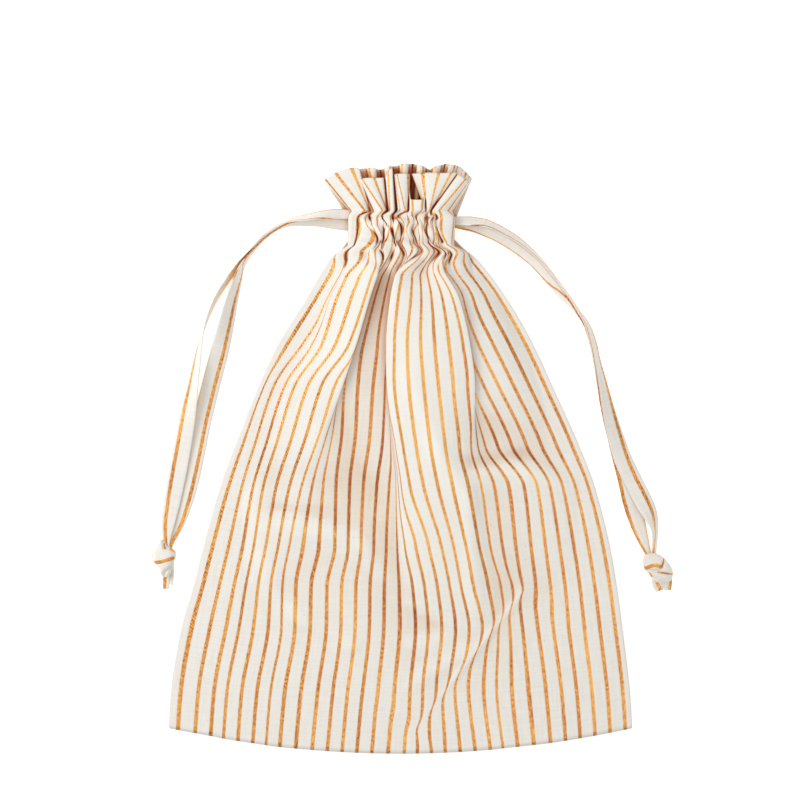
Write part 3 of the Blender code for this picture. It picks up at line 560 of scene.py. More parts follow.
# Grooves between the turns of tape, as lines of x and y
LEFT_KNOT_GROOVES = (
    ((-153.1, -53.6), (-152.1, -58.2), (-148.8, -58.7), (-145.3, -61.3)),
    ((-158.9, -56.9), (-160.6, -60.8), (-159.9, -64.0)),
    ((-153.5, -77.0), (-151.6, -73.0), (-148.6, -71.0)),
)
RIGHT_KNOT_GROOVES = (
    ((170.6, -63.4), (169.3, -67.9), (168.3, -71.2), (165.8, -73.5)),
    ((164.1, -73.1), (170.6, -74.3), (176.5, -75.3)),
    ((160.9, -74.4), (162.8, -77.0), (164.8, -78.0)),
    ((157.6, -73.5), (160.9, -72.5), (165.4, -73.0)),
)

# Stripes that show on the knots, as lines of x and y
LEFT_KNOT_STRIPES = (
    ((-160.6, -67.9), (-153.7, -66.8), (-146.9, -64.7)),
)
RIGHT_KNOT_STRIPES = (
    ((157.6, -71.5), (161.5, -69.5), (165.4, -69.0), (168.0, -70.2)),
)

# Edges of a stripe, seen in the grooves of the knots
LEFT_KNOT_EDGES = (
    ((-152.7, -55.6), (-151.9, -58.6)),
    ((-148.8, -58.8), (-145.3, -61.4)),
)
RIGHT_KNOT_EDGES = (
    ((166.1, -73.5), (170.6, -74.3), (176.2, -75.3)),
    ((170.4, -64.0), (169.5, -67.9), (168.4, -70.5)),
    ((160.9, -74.4), (162.5, -76.4)),
)

# Knots, in mm and shares of their height; in stripes, a place beside any stripe and the cloth
# that each radian of a knot's height takes up
LEFT_KNOT_HEIGHT = 11.0
RIGHT_KNOT_HEIGHT = 11.5
KNOT_FULLNESS = 0.6
KNOT_COLUMNS = 96
KNOT_ROWS = 60
GROOVE_WIDTH = 0.9
GROOVE_DEPTH = 1.9
GROOVE_FOOT = 0.2
GROOVE_RISE = 0.4
PLAIN_COTTON = 0.62
KNOT_CLOTH = 2.0

# Stage, in metres: camera over the bag, what the lights aim at, and the floor
CAMERA_PLACE = (-0.0003, 0.0374)
LIGHT_AIM = (0.0, 0.02, 0.0)
KEY_PLACE = (-0.75, 0.35, 0.65)
KEY_SIZE = 0.6
FILL_PLACE = (0.3, -0.2, 1.3)
FILL_SIZE = 1.2
FLOOR_SIZE = 4.0
FLOOR_Z = -0.0002
WHITE = (1.0, 1.0, 1.0, 1.0)


def linear(hex_colour):
    """Linear colour, with alpha 1, of an sRGB hex value such as F4EEE4."""
    parts = [int(hex_colour[i:i + 2], 16) / 255 for i in (0, 2, 4)]
    return [c / 12.92 if c <= 0.04045 else ((c + 0.055) / 1.055) ** 2.4
            for c in parts] + [1.0]


def colour_property(name, description, hex_colour):
    """Colour that a user can set, with an sRGB hex value as its default."""
    return FloatVectorProperty(name=name, description=description, default=linear(hex_colour),
                               size=4, min=0.0, max=1.0, subtype="COLOR")


class BagClothSettings(bpy.types.PropertyGroup):
    cream: colour_property("Cream", "Unbleached cotton between the stripes", "E8E5DD")
    cream_shade: colour_property("Cream slub", "Thicker, darker yarns of the cotton", "E0DAD0")
    # Cream ridge is a painted highlight: the paler cream painted on the ridges of the folds
    cream_painted_highlight: colour_property("Cream ridge", "Raised nap of the cotton on a ridge", "F0EDE5")
    fleck: colour_property("Fleck", "Bits of husk left in the yarn", "7A6650")
    # Gold is also the painted highlight of a stripe on a ridge, and russet also its painted shade
    # in a hollow
    gold: colour_property("Gold", "Lit threads of the stripe", "F0B860")
    orange: colour_property("Burnt orange", "Middle tone of the stripe", "C66C1A")
    russet: colour_property("Russet", "Gaps between the stripe's threads", "8A3D12")
    stripe_width: FloatProperty(name="Stripe width", description="Width of a woven stripe",
                                default=0.0024, min=0.0005, max=0.005, unit="LENGTH")
    # Shade is the colour of the painted shade in tight folds
    shade: colour_property("Shade", "What the dyed yarns leave of the light in a deep fold",
                           "D47B38")
    # Pocket shade is painted shade: a warm darkening multiplied into the hollows of the cloth
    pocket_painted_shade: colour_property("Pocket shade", "Warm tone of a wide, shallow fold", "ECD3B6")
    thickness: FloatProperty(name="Cloth thickness", description="Thickness of one layer",
                             default=0.0006, min=0.0002, max=0.001, unit="LENGTH")
    thread_spacing: FloatProperty(name="Thread spacing",
                                  description="Distance between drawn threads",
                                  default=0.0018, min=0.0003, max=0.003, unit="LENGTH")


class BagTieSettings(bpy.types.PropertyGroup):
    thickness: FloatProperty(name="Tape thickness", description="Folded tape, all layers",
                             default=0.0012, min=0.0006, max=0.002, unit="LENGTH")
    width: FloatProperty(name="Tape width", description="Width of the tape lying flat",
                         default=0.012, min=0.008, max=0.016, unit="LENGTH")


class BagStageSettings(bpy.types.PropertyGroup):
    floor: colour_property("Floor", "Opal white sheet of a light table", "FAFAF8")
    floor_glow: FloatProperty(name="Floor glow",
                              description="Light that comes up through the sheet",
                              default=0.5, min=0.0, max=2.0)
    key_power: FloatProperty(name="Key light", description="Soft light from the left",
                             default=5.6, min=0.0, unit="POWER")
    fill_power: FloatProperty(name="Fill light", description="Wide light from above",
                              default=5.0, min=0.0, unit="POWER")
    sky: FloatProperty(name="Sky", description="Strength of the even surrounding light",
                       default=0.57, min=0.0, max=3.0)
    camera_height: FloatProperty(name="Camera height", description="Height over the floor",
                                 default=1.228, min=0.5, max=3.0, unit="LENGTH")


def ease(value):
    """Smooth step from 0 to 1, held beyond both ends."""
    value = np.clip(value, 0.0, 1.0)
    return value * value * (3.0 - 2.0 * value)


def read_table(table, places):
    """Rows of a table at each place: smooth between its rows, never past their values."""
    rows = np.array(sorted(table))
    stations = rows[:, 0]
    values = rows[:, 1:]
    places = np.clip(np.atleast_1d(places), stations[0], stations[-1])
    rises = np.diff(values, axis=0) / np.diff(stations)[:, None]
    both = rises[:-1] * rises[1:]
    total = rises[:-1] + rises[1:]
    inner = np.where(both > 0.0, 2.0 * both / np.where(total == 0.0, 1.0, total), 0.0)
    slopes = np.vstack([rises[:1], inner, rises[-1:]])
    low = np.minimum(np.searchsorted(stations, places, side="right") - 1, len(stations) - 2)
    step = (stations[low + 1] - stations[low])[:, None]
    part = (places - stations[low])[:, None] / step
    return (values[low] * (1 + 2 * part) * (1 - part) ** 2
            + slopes[low] * step * part * (1 - part) ** 2
            + values[low + 1] * (3 - 2 * part) * part ** 2
            - slopes[low + 1] * step * (1 - part) * part ** 2)


def tuck_points(start, end, reach):
    """Points of cloth that drops from a ridge, runs back under it and comes out on the floor."""
    x0, z0, c0 = start
    x1, z1, c1 = end
    lip = -math.copysign(min(abs(reach), RIDGE_LIP), reach)
    points = [(x0 + lip, z0 + (z1 - z0) * LIP_DROP, c0 + (c1 - c0) * LIP_CLOTH)]
    for across, back, drop, used in TUCK_TURN:
        points.append((x0 + (x1 - x0) * across + reach * back,
                       z0 + (z1 - z0) * drop, c0 + (c1 - c0) * used))
    return points


def body_points(y):
    """Control points (x, z, cloth) of the front's section at height y, from left to right."""
    left, right = read_table(OUTLINE, y)[0]
    f0, f1, xl0, xl1, xm0, xm1, xc0, xc1, xr0, xr1 = read_table(PLAN, y)[0]
    cl0, cl1, cm0, cm1, cr0, cr1 = read_table(CLOTH, y)[0]
    zf0, zf1, zl, zfloor, zm, zc0, zc1, zr, zright = read_table(HEIGHT, y)[0]
    reach_f, reach_l, reach_m, reach_r = read_table(TUCK, y)[0]
    edge = FRONT_EDGE_Z
    points = [
        (left, edge, CLOTH_LEFT),
        (left + SIDE_ROLL, edge + SIDE_RISE[0] * (zf0 - edge), CLOTH_LEFT + SIDE_CLOTH),
        (f0, zf0, FLANK_CLOTH[0]),
    ]
    points += tuck_points((f1, zf1, FLANK_CLOTH[1]), (f0, zf0, FLANK_CLOTH[0]), reach_f)[::-1]
    points += [
        (f1, zf1, FLANK_CLOTH[1]),
        ((f1 + xl0) / 2, (zf1 + zl) / 2 + FLANK_SWELL * (zl - edge),
         (FLANK_CLOTH[1] + cl0) / 2),
        (xl0 - RIDGE_SHOULDER, zl, cl0 - RIDGE_CLOTH),
    ]
    points += tuck_points((xl0, zl, cl0), (xl1, zfloor, cl1), -reach_l)
    points += [
        (xl1 + CHANNEL_MARGIN, zfloor, cl1),
        ((xl1 + xm0) / 2, zfloor - CHANNEL_SAG, (cl1 + cm0) / 2),
        (xm0 - CHANNEL_MARGIN, zfloor, cm0),
    ]
    points += tuck_points((xm1, zm, cm1), (xm0, zfloor, cm0), reach_m)[::-1]
    points += [
        (xm1 + RIDGE_SHOULDER, zm + SHOULDER_RISE, cm1 + RIDGE_CLOTH),
        (xc0, zc0, HOLLOW_CLOTH[0]),
        (xc1, zc1, HOLLOW_CLOTH[1]),
        ((xc1 + xr0) / 2, (zc1 + zr) / 2 + HOLLOW_RISE, (HOLLOW_CLOTH[1] + cr0) / 2),
        (xr0 - RIDGE_SHOULDER, zr, cr0 - RIDGE_CLOTH),
    ]
    points += tuck_points((xr0, zr, cr0), (xr1, zright, cr1), -reach_r)
    points += [
        (xr1 + RIGHT_MARGIN, zright, cr1),
        ((xr1 + right) / 2, zright * RIGHT_FALL[0] + RIGHT_FALL[1], (cr1 + CLOTH_RIGHT) / 2),
        (right - SIDE_ROLL, edge + SIDE_RISE[1] * (zright - edge), CLOTH_RIGHT - SIDE_CLOTH),
        (right, edge, CLOTH_RIGHT),
    ]
    return np.array(points)


def spline(points, steps_per_point=12):
    """Uniform cubic B-spline that starts and ends on the first and last point."""
    padded = np.vstack([points[:1]] * 2 + [points] + [points[-1:]] * 2)
    places = np.linspace(0.0, len(padded) - 3.0, (len(padded) - 3) * steps_per_point + 1)
    first = np.minimum(places.astype(int), len(padded) - 4)
    t = (places - first)[:, None]
    return ((1 - t) ** 3 * padded[first]
            + (3 * t ** 3 - 6 * t ** 2 + 4) * padded[first + 1]
            + (-3 * t ** 3 + 3 * t ** 2 + 3 * t + 1) * padded[first + 2]
            + t ** 3 * padded[first + 3]) / 6.0


def front_section(y, columns):
    """x and z of the front panel at height y, up to the casing's foot."""
    curve = spline(body_points(y))
    body_x = np.interp(columns, curve[:, 2], curve[:, 0])
    body_z = np.interp(columns, curve[:, 2], curve[:, 1])
    neck_x, _, neck_z, _ = read_table(CASING_FOLDS, columns).T
    left, right = read_table(OUTLINE, max(y, CASING_LOW_Y - GATHER_FADE))[0]
    left_foot, right_foot = read_table(OUTLINE, CASING_LOW_Y)[0]
    spread = ease((CASING_LOW_Y + SPREAD_START - y) / SPREAD_LENGTH)
    low = neck_x[0] + (left - left_foot) + (left_foot - neck_x[0]) * spread
    high = neck_x[-1] + (right - right_foot) + (right_foot - neck_x[-1]) * spread
    neck_x = low + (high - low) * (neck_x - neck_x[0]) / (neck_x[-1] - neck_x[0])
    blend = ease((CASING_LOW_Y + GATHER_START - y) / GATHER_FADE)
    return neck_x + (body_x - neck_x) * blend, neck_z + (body_z - neck_z) * blend


def pleat_wave(columns):
    """For each column of the back: its pleat, its place across that and the wave, -1 to 1."""
    valleys = np.array([row[0] for row in BACK_PLEATS])
    index = np.clip(np.searchsorted(valleys, columns, side="right") - 1, 0, len(valleys) - 2)
    part = (columns - valleys[index]) / (valleys[index + 1] - valleys[index])
    across = part + BACK_PLEAT_LEAN * np.sin(4.0 * math.pi * part) / (2.0 * math.pi)
    return index, across, -np.cos(2.0 * math.pi * part)


def back_pleats(columns, flare):
    """x and z of the drawn back; flare is 0 in the casing and 1 at the top edge."""
    index, across, wave = pleat_wave(columns)
    valleys = np.array([row[1] + (row[2] - row[1]) * flare for row in BACK_PLEATS])
    share = np.array([row[4] for row in BACK_PLEATS])[index]
    x = valleys[index] + (valleys[index + 1] - valleys[index]) * across
    middle = 2.0 * (x - valleys[0]) / (valleys[-1] - valleys[0]) - 1.0
    height = BACK_PLEAT_HEIGHT * (1.0 - middle ** 2) * share * (1.0 + BACK_PLEAT_FLARE * flare)
    return x, BACK_Z + height * (1.0 + wave) / 2.0


def back_section(y, columns):
    """x and z of the back panel at height y, up to the casing's top."""
    x, z = back_pleats(columns, 0.0)
    left, right = read_table(OUTLINE, y)[0]
    left += BACK_INSET
    right -= BACK_INSET
    x = left + (right - left) * (x - x[0]) / (x[-1] - x[0])
    flat_x = left + (right - left) * (columns - CLOTH_LEFT) / (CLOTH_RIGHT - CLOTH_LEFT)
    fade = ease((y - BACK_PLEAT_END_Y) / (CASING_LOW_Y - BACK_PLEAT_END_Y))
    return flat_x + (x - flat_x) * fade, BACK_Z + (z - BACK_Z) * fade


def rows_below(section, columns, low_y, high_y, count):
    """Rows of points (x, y, z) between two heights at the middle of the cloth."""
    spread = 2.0 * (columns - CLOTH_LEFT) / (CLOTH_RIGHT - CLOTH_LEFT) - 1.0
    levels = np.linspace(BOTTOM_EDGE_Y, high_y + BOTTOM_EDGE_RISE, SECTION_LEVELS)
    sections = np.array([section(level, columns) for level in levels])
    rows = []
    for middle_y in np.linspace(low_y, high_y, count):
        along = (CASING_LOW_Y - middle_y) / (CASING_LOW_Y - BOTTOM_EDGE_Y)
        y = middle_y + BOTTOM_EDGE_RISE * max(along, 0.0) * spread ** 2
        x = [np.interp(y[i], levels, sections[:, 0, i]) for i in range(len(columns))]
        z = [np.interp(y[i], levels, sections[:, 1, i]) for i in range(len(columns))]
        rows.append(np.stack([x, y, z], axis=1))
    return rows


def casing_rows(columns):
    """Rows of the front from above the casing's foot to the foot of the heading."""
    x_low, x_high, z_low, z_high = read_table(CASING_FOLDS, columns).T
    x_foot, z_foot = read_table(HEADING_FOLDS, columns).T[:2]
    levels = (CASING_LOW_Y, CASING_HIGH_Y, HEADING_FOOT_Y)
    x_table = [(level, *values) for level, values in zip(levels, (x_low, x_high, x_foot))]
    z_table = [(level, *values) for level, values in zip(levels, (z_low, z_high, z_foot))]
    rows = []
    for y in np.linspace(CASING_LOW_Y, HEADING_FOOT_Y, CASING_ROWS + 1)[1:]:
        x = read_table(x_table, y)[0]
        z = read_table(z_table, y)[0]
        share = min((y - CASING_LOW_Y) / (CASING_HIGH_Y - CASING_LOW_Y), 1.0)
        bulge = CASING_BULGE * math.sin(math.pi * share)
        rows.append(np.stack([x, np.full(len(columns), y), z + bulge], axis=1))
    return rows


def gather(row, columns):
    """Row near the neck with its folds: swaying, pulled in at the stitch lines, puffed between."""
    x, y, z = row.T
    low_line, high_line = STITCH_LINES
    away = np.maximum(np.maximum(low_line - NECK_LOW - y, y - HEADING_FOOT_Y), 0.0) / NECK_FADE
    near = np.exp(-away ** 2) * ease((y - low_line + NECK_START) / NECK_RISE)
    side = ease((columns - CALM_LEFT[0]) / CALM_LEFT[1])
    side = side * ease((CALM_RIGHT[0] - columns) / CALM_RIGHT[1])
    sway = np.sin(2.0 * math.pi * y / GATHER_WAVE + GATHER_TURN * columns
                  + np.sin(GATHER_WANDER * columns))
    pinch = sum(np.exp(-((y - line) / STITCH_WIDTH) ** 2) for line in STITCH_LINES)
    between = np.exp(-((y - sum(STITCH_LINES) / 2.0) / PUFF_REACH) ** 2)
    lift = (PUFF * between - STITCH_PULL * pinch) * side
    end = 1.0 - ease((y - high_line - NECK_END) / (HEADING_FOOT_Y - high_line - NECK_END))
    x = x + GATHER_SWAY * sway * near * side * end
    drawn = np.exp(-(np.maximum(low_line - VALLEY_LOW - y, 0.0) / NECK_FADE) ** 2) * end
    full = (z - FOLD_LOW) / (FOLD_HIGH - FOLD_LOW)
    bridge = ease(0.5 + BRIDGE_SWING * np.sin(BRIDGE_CLIMB * y + BRIDGE_TURN * columns))
    full = full + np.maximum(BRIDGE_LEVEL - full, 0.0) * VALLEY_FILL * drawn * side * bridge
    open_share = 1.0 - VALLEY_SQUEEZE * drawn * ease((VALLEY_SHUT - full) / VALLEY_SHUT)
    steps = np.diff(x) * (open_share[1:] + open_share[:-1]) / 2.0
    x = x[0] + np.concatenate([[0.0], np.cumsum(steps)]) * (x[-1] - x[0]) / steps.sum()
    plump = NECK_EDGE_Z + (FOLD_HIGH - NECK_EDGE_Z) * np.sqrt(np.clip(full, 0.0, FOLD_MOST))
    z = z + (plump - z) * near * end
    ripple = RIPPLE_HEIGHT * np.cos(RIPPLE_TURN * columns + RIPPLE_CLIMB * y)
    z = np.maximum(z + (lift + ripple) * near * side * end, NECK_EDGE_Z)
    return np.stack([x, y, z], axis=1)


def heading_rows(columns):
    """Rows of the front's flaps, from the foot of the heading to its uneven top edge."""
    x_foot, z_foot, z_middle, x_top, z_top, y_top = read_table(HEADING_FOLDS, columns).T
    levels = ((0.0, *z_foot), (HEADING_MIDDLE, *z_middle), (1.0, *z_top))
    rows = []
    for step in range(1, HEADING_ROWS + 1):
        share = step / HEADING_ROWS
        x = x_foot + (x_top - x_foot) * share
        y = HEADING_FOOT_Y + (y_top - HEADING_FOOT_Y) * share
        rows.append(np.stack([x, y, read_table(levels, share)[0]], axis=1))
    return rows


def back_heading_rows(columns):
    """Rows of the back above the casing, flaring to its scalloped top edge."""
    index, across, _ = pleat_wave(columns)
    tops = np.array([row[3] for row in BACK_PLEATS])
    top_y = tops[index] + (tops[index + 1] - tops[index]) * across
    rows = []
    for step in range(1, HEADING_ROWS + 1):
        share = step / HEADING_ROWS
        x, z = back_pleats(columns, share)
        rows.append(np.stack([x, CASING_HIGH_Y + (top_y - CASING_HIGH_Y) * share, z], axis=1))
    return rows


def crease(row):
    """Row of the front with the height and the sideways slip of its creases added."""
    x, y = row[:, 0], row[:, 1]
    lift = np.zeros_like(x)
    slide = np.zeros_like(x)
    for x0, y0, x1, y1, half_width, ridge, slip in CREASES:
        run = math.hypot(x1 - x0, y1 - y0)
        along = ((x - x0) * (x1 - x0) + (y - y0) * (y1 - y0)) / run
        off = ((x - x0) * (y1 - y0) - (y - y0) * (x1 - x0)) / run
        beyond = np.maximum(np.maximum(-along, along - run), 0.0) / (CREASE_END * half_width)
        lift += ridge * np.exp(-(off / half_width) ** 2 - beyond ** 2)
        fade = np.exp(-np.abs(off) / SLIP_REACH - beyond ** 2)
        slide += slip * np.tanh(off / SLIP_STEP) * fade
    return np.stack([x + slide, y, row[:, 2] + lift], axis=1)


def fold_height(rows):
    """How far each point of a sheet stands above the folds around it, or below them if minus."""
    height = np.array(rows)[:, :, 2]
    around = height
    for axis, reach in ((0, FOLD_ROWS), (1, FOLD_COLUMNS), (0, FOLD_ROWS), (1, FOLD_COLUMNS)):
        margin = [(reach, reach) if i == axis else (0, 0) for i in (0, 1)]
        total = np.cumsum(np.pad(around, margin, mode="edge"), axis=axis)
        total = np.insert(total, 0, 0.0, axis=axis)
        count = height.shape[axis]
        span = 2 * reach + 1
        around = (np.take(total, range(span, span + count), axis=axis)
                  - np.take(total, range(count), axis=axis)) / span
    aside = np.arange(height.shape[1])
    aside = np.minimum(aside, aside[::-1])
    return (height - around) * ease(aside / FOLD_EDGE_COLUMNS)


def skin(name, points, across, along, closed, material):
    """Mesh over a grid of points in mm, with the cloth's own coordinates, in stripes, as its UV."""
    count, width = points.shape[:2]
    mesh = bpy.data.meshes.new(name)
    faces = []
    for row in range(count - 1):
        for i in range(width if closed else width - 1):
            k = (i + 1) % width
            low, high = row * width, (row + 1) * width
            faces.append((low + i, low + k, high + k, high + i))
    if closed:
        faces.append(tuple(range(width))[::-1])
        faces.append(tuple((count - 1) * width + i for i in range(width)))
    mesh.from_pydata((points * MM).reshape(-1, 3).tolist(), [], faces)
    layer = mesh.uv_layers.new(name="Cloth")
    corners = np.empty(len(mesh.loops), int)
    mesh.loops.foreach_get("vertex_index", corners)
    uv = np.stack([across, along], axis=-1).reshape(-1, 2)[corners]
    layer.data.foreach_set("uv", uv.astype(np.float32).ravel())
    mesh.materials.append(material)
    mesh.shade_smooth()
    item = bpy.data.objects.new(name, mesh)
    bpy.context.scene.collection.objects.link(item)
    return item


def panel_sheet(name, rows, columns, thickness, material):
    """Sheet of cloth with a real thickness over rows of points."""
    points = np.array(rows)
    steps = np.linalg.norm(np.diff(points, axis=0), axis=2).mean(axis=1)
    along = np.concatenate([[0.0], np.cumsum(steps)]) / PITCH
    across = np.broadcast_to(columns, points.shape[:2])
    along = np.broadcast_to(along[:, None], points.shape[:2])
    sheet = skin(name, points, across, along, False, material)
    depth = sheet.data.attributes.new("Fold height", "FLOAT", "POINT")
    depth.data.foreach_set("value", fold_height(rows).astype(np.float32).ravel())
    solid = sheet.modifiers.new("Cloth thickness", "SOLIDIFY")
    solid.thickness = thickness
    solid.offset = 0.0
    solid.use_quality_normals = True
    return sheet


def route_curve(route, steps):
    """Smooth rows along a strand: a Catmull-Rom curve through the route's own points."""
    points = np.array(route)
    padded = np.vstack([2 * points[0] - points[1], points, 2 * points[-1] - points[-2]])
    curve = []
    for place in np.linspace(0.0, len(points) - 1.0, steps + 1):
        i = min(int(place), len(points) - 2)
        t = place - i
        a, b, c, d = padded[i:i + 4]
        curve.append(0.5 * (2 * b + (c - a) * t + (2 * a - 5 * b + 4 * c - d) * t ** 2
                            + (3 * b - a - 3 * c + d) * t ** 3))
    return np.array(curve)


def tape_section(half_width, half_thickness, count=9):
    """Points (across, up) round a folded tape: flat faces, folded edges and a shallow seam line."""
    across = np.sin(np.linspace(-math.pi / 2, math.pi / 2, count))
    rise = np.sqrt(np.clip(1.0 - np.abs(across) ** TAPE_SQUARENESS, 0.0, 1.0))
    rise[count // 2 + 2] *= SEAM_SINK
    top = np.stack([across * half_width, rise * half_thickness], axis=1)
    bottom = np.stack([across * half_width, -rise * half_thickness], axis=1)[::-1]
    return np.vstack([top, bottom[1:-1]])


def edge_line(place):
    """Place across a tape, in stripes; the stripe folded under its other edge is a thin line."""
    if abs(place) < HALF_WAY:
        return place
    return math.copysign(1.0 - min((1.0 - abs(place)) * EDGE_FINENESS, HALF_WAY), place)


def tape_strand(name, route, steps, thickness, material):
    """Flat folded tape along a route: the object, and the points of its centreline in metres."""
    curve = route_curve(route, steps)
    rings = []
    centres = []
    across = []
    for i, (x, y, low, turn, width, stripe_at) in enumerate(curve):
        ahead = curve[min(i + 1, steps)] - curve[max(i - 1, 0)]
        along = Vector((ahead[0], ahead[1], 0.0)).normalized()
        spin = Matrix.Rotation(math.radians(turn), 3, along)
        wide = spin @ Vector((0.0, 0.0, 1.0)).cross(along)
        thick = along.cross(wide)
        rise = abs(wide.z) * width / 2 + abs(thick.z) * thickness / 2
        centre = Vector((x, y, low + rise))
        section = tape_section(width / 2, thickness / 2)
        rings.append([centre + wide * u - thick * v for u, v in section])
        across.append([edge_line((u - stripe_at) / PITCH) for u, _ in section])
        centres.append(centre)
    lengths = [0.0]
    for low, high in zip(centres, centres[1:]):
        lengths.append(lengths[-1] + (high - low).length)
    along = np.broadcast_to((np.array(lengths) / PITCH)[:, None], np.array(across).shape)
    strand = skin(name, np.array(rings), np.array(across), along, True, material)
    return strand, [centre * MM for centre in centres]


def distance_to(lines, x, y):
    """Distance of each (x, y) to the nearest of some lines."""
    nearest = np.full(x.shape, np.inf)
    for line in lines:
        for (x0, y0), (x1, y1) in zip(line, line[1:]):
            run = (x1 - x0) ** 2 + (y1 - y0) ** 2
            part = np.clip(((x - x0) * (x1 - x0) + (y - y0) * (y1 - y0)) / run, 0.0, 1.0)
            off = np.hypot(x - x0 - part * (x1 - x0), y - y0 - part * (y1 - y0))
            nearest = np.minimum(nearest, off)
    return nearest


def tied_knot(name, outline, height, grooves, stripes, edges, material):
    """Overhand knot of folded tape: turns pulled tight, with grooves between them."""
    edge = np.array(outline)
    middle = edge.mean(axis=0)
    angles = np.arctan2(*(edge - middle).T[::-1])
    order = np.argsort(angles)
    turns = np.linspace(-math.pi, math.pi, KNOT_COLUMNS + 1)[:-1]
    radii = np.hypot(*(edge - middle).T)[order]
    radii = np.interp(turns, angles[order], radii, period=2.0 * math.pi)
    lifts = np.linspace(-0.5 * math.pi, 0.5 * math.pi, KNOT_ROWS + 1)[1:-1]
    reach = np.cos(lifts)[:, None] ** KNOT_FULLNESS
    x = middle[0] + np.cos(turns) * radii * reach
    y = middle[1] + np.sin(turns) * radii * reach
    z = np.broadcast_to(height / 2.0 * (1.0 + np.sin(lifts))[:, None], x.shape)
    sunk = GROOVE_DEPTH * np.exp(-(distance_to(grooves, x, y) / GROOVE_WIDTH) ** 2)
    sunk = sunk * ease((z - GROOVE_FOOT * height) / (GROOVE_RISE * height))
    to_stripe = np.minimum(distance_to(stripes, x, y), EDGE_FINENESS * distance_to(edges, x, y))
    across = np.minimum(to_stripe / PITCH, PLAIN_COTTON)
    along = np.broadcast_to(lifts[:, None] * KNOT_CLOTH, x.shape)
    return skin(name, np.stack([x, y, z - sunk], axis=-1), across, along, True, material)


def add_node(tree, kind, settings=None, links=None):
    """One shader node: settings for its properties and sockets, and what feeds its sockets.

    Each link is another node, for its first output, or one output of a node.
    """
    node = tree.nodes.new("ShaderNode" + kind)
    for key, value in (settings or {}).items():
        if isinstance(key, str) and hasattr(node, key):
            setattr(node, key, value)
        else:
            node.inputs[key].default_value = value
    for key, source in (links or {}).items():
        if isinstance(source, bpy.types.Node):
            source = source.outputs[0]
        tree.links.new(source, node.inputs[key])
    return node


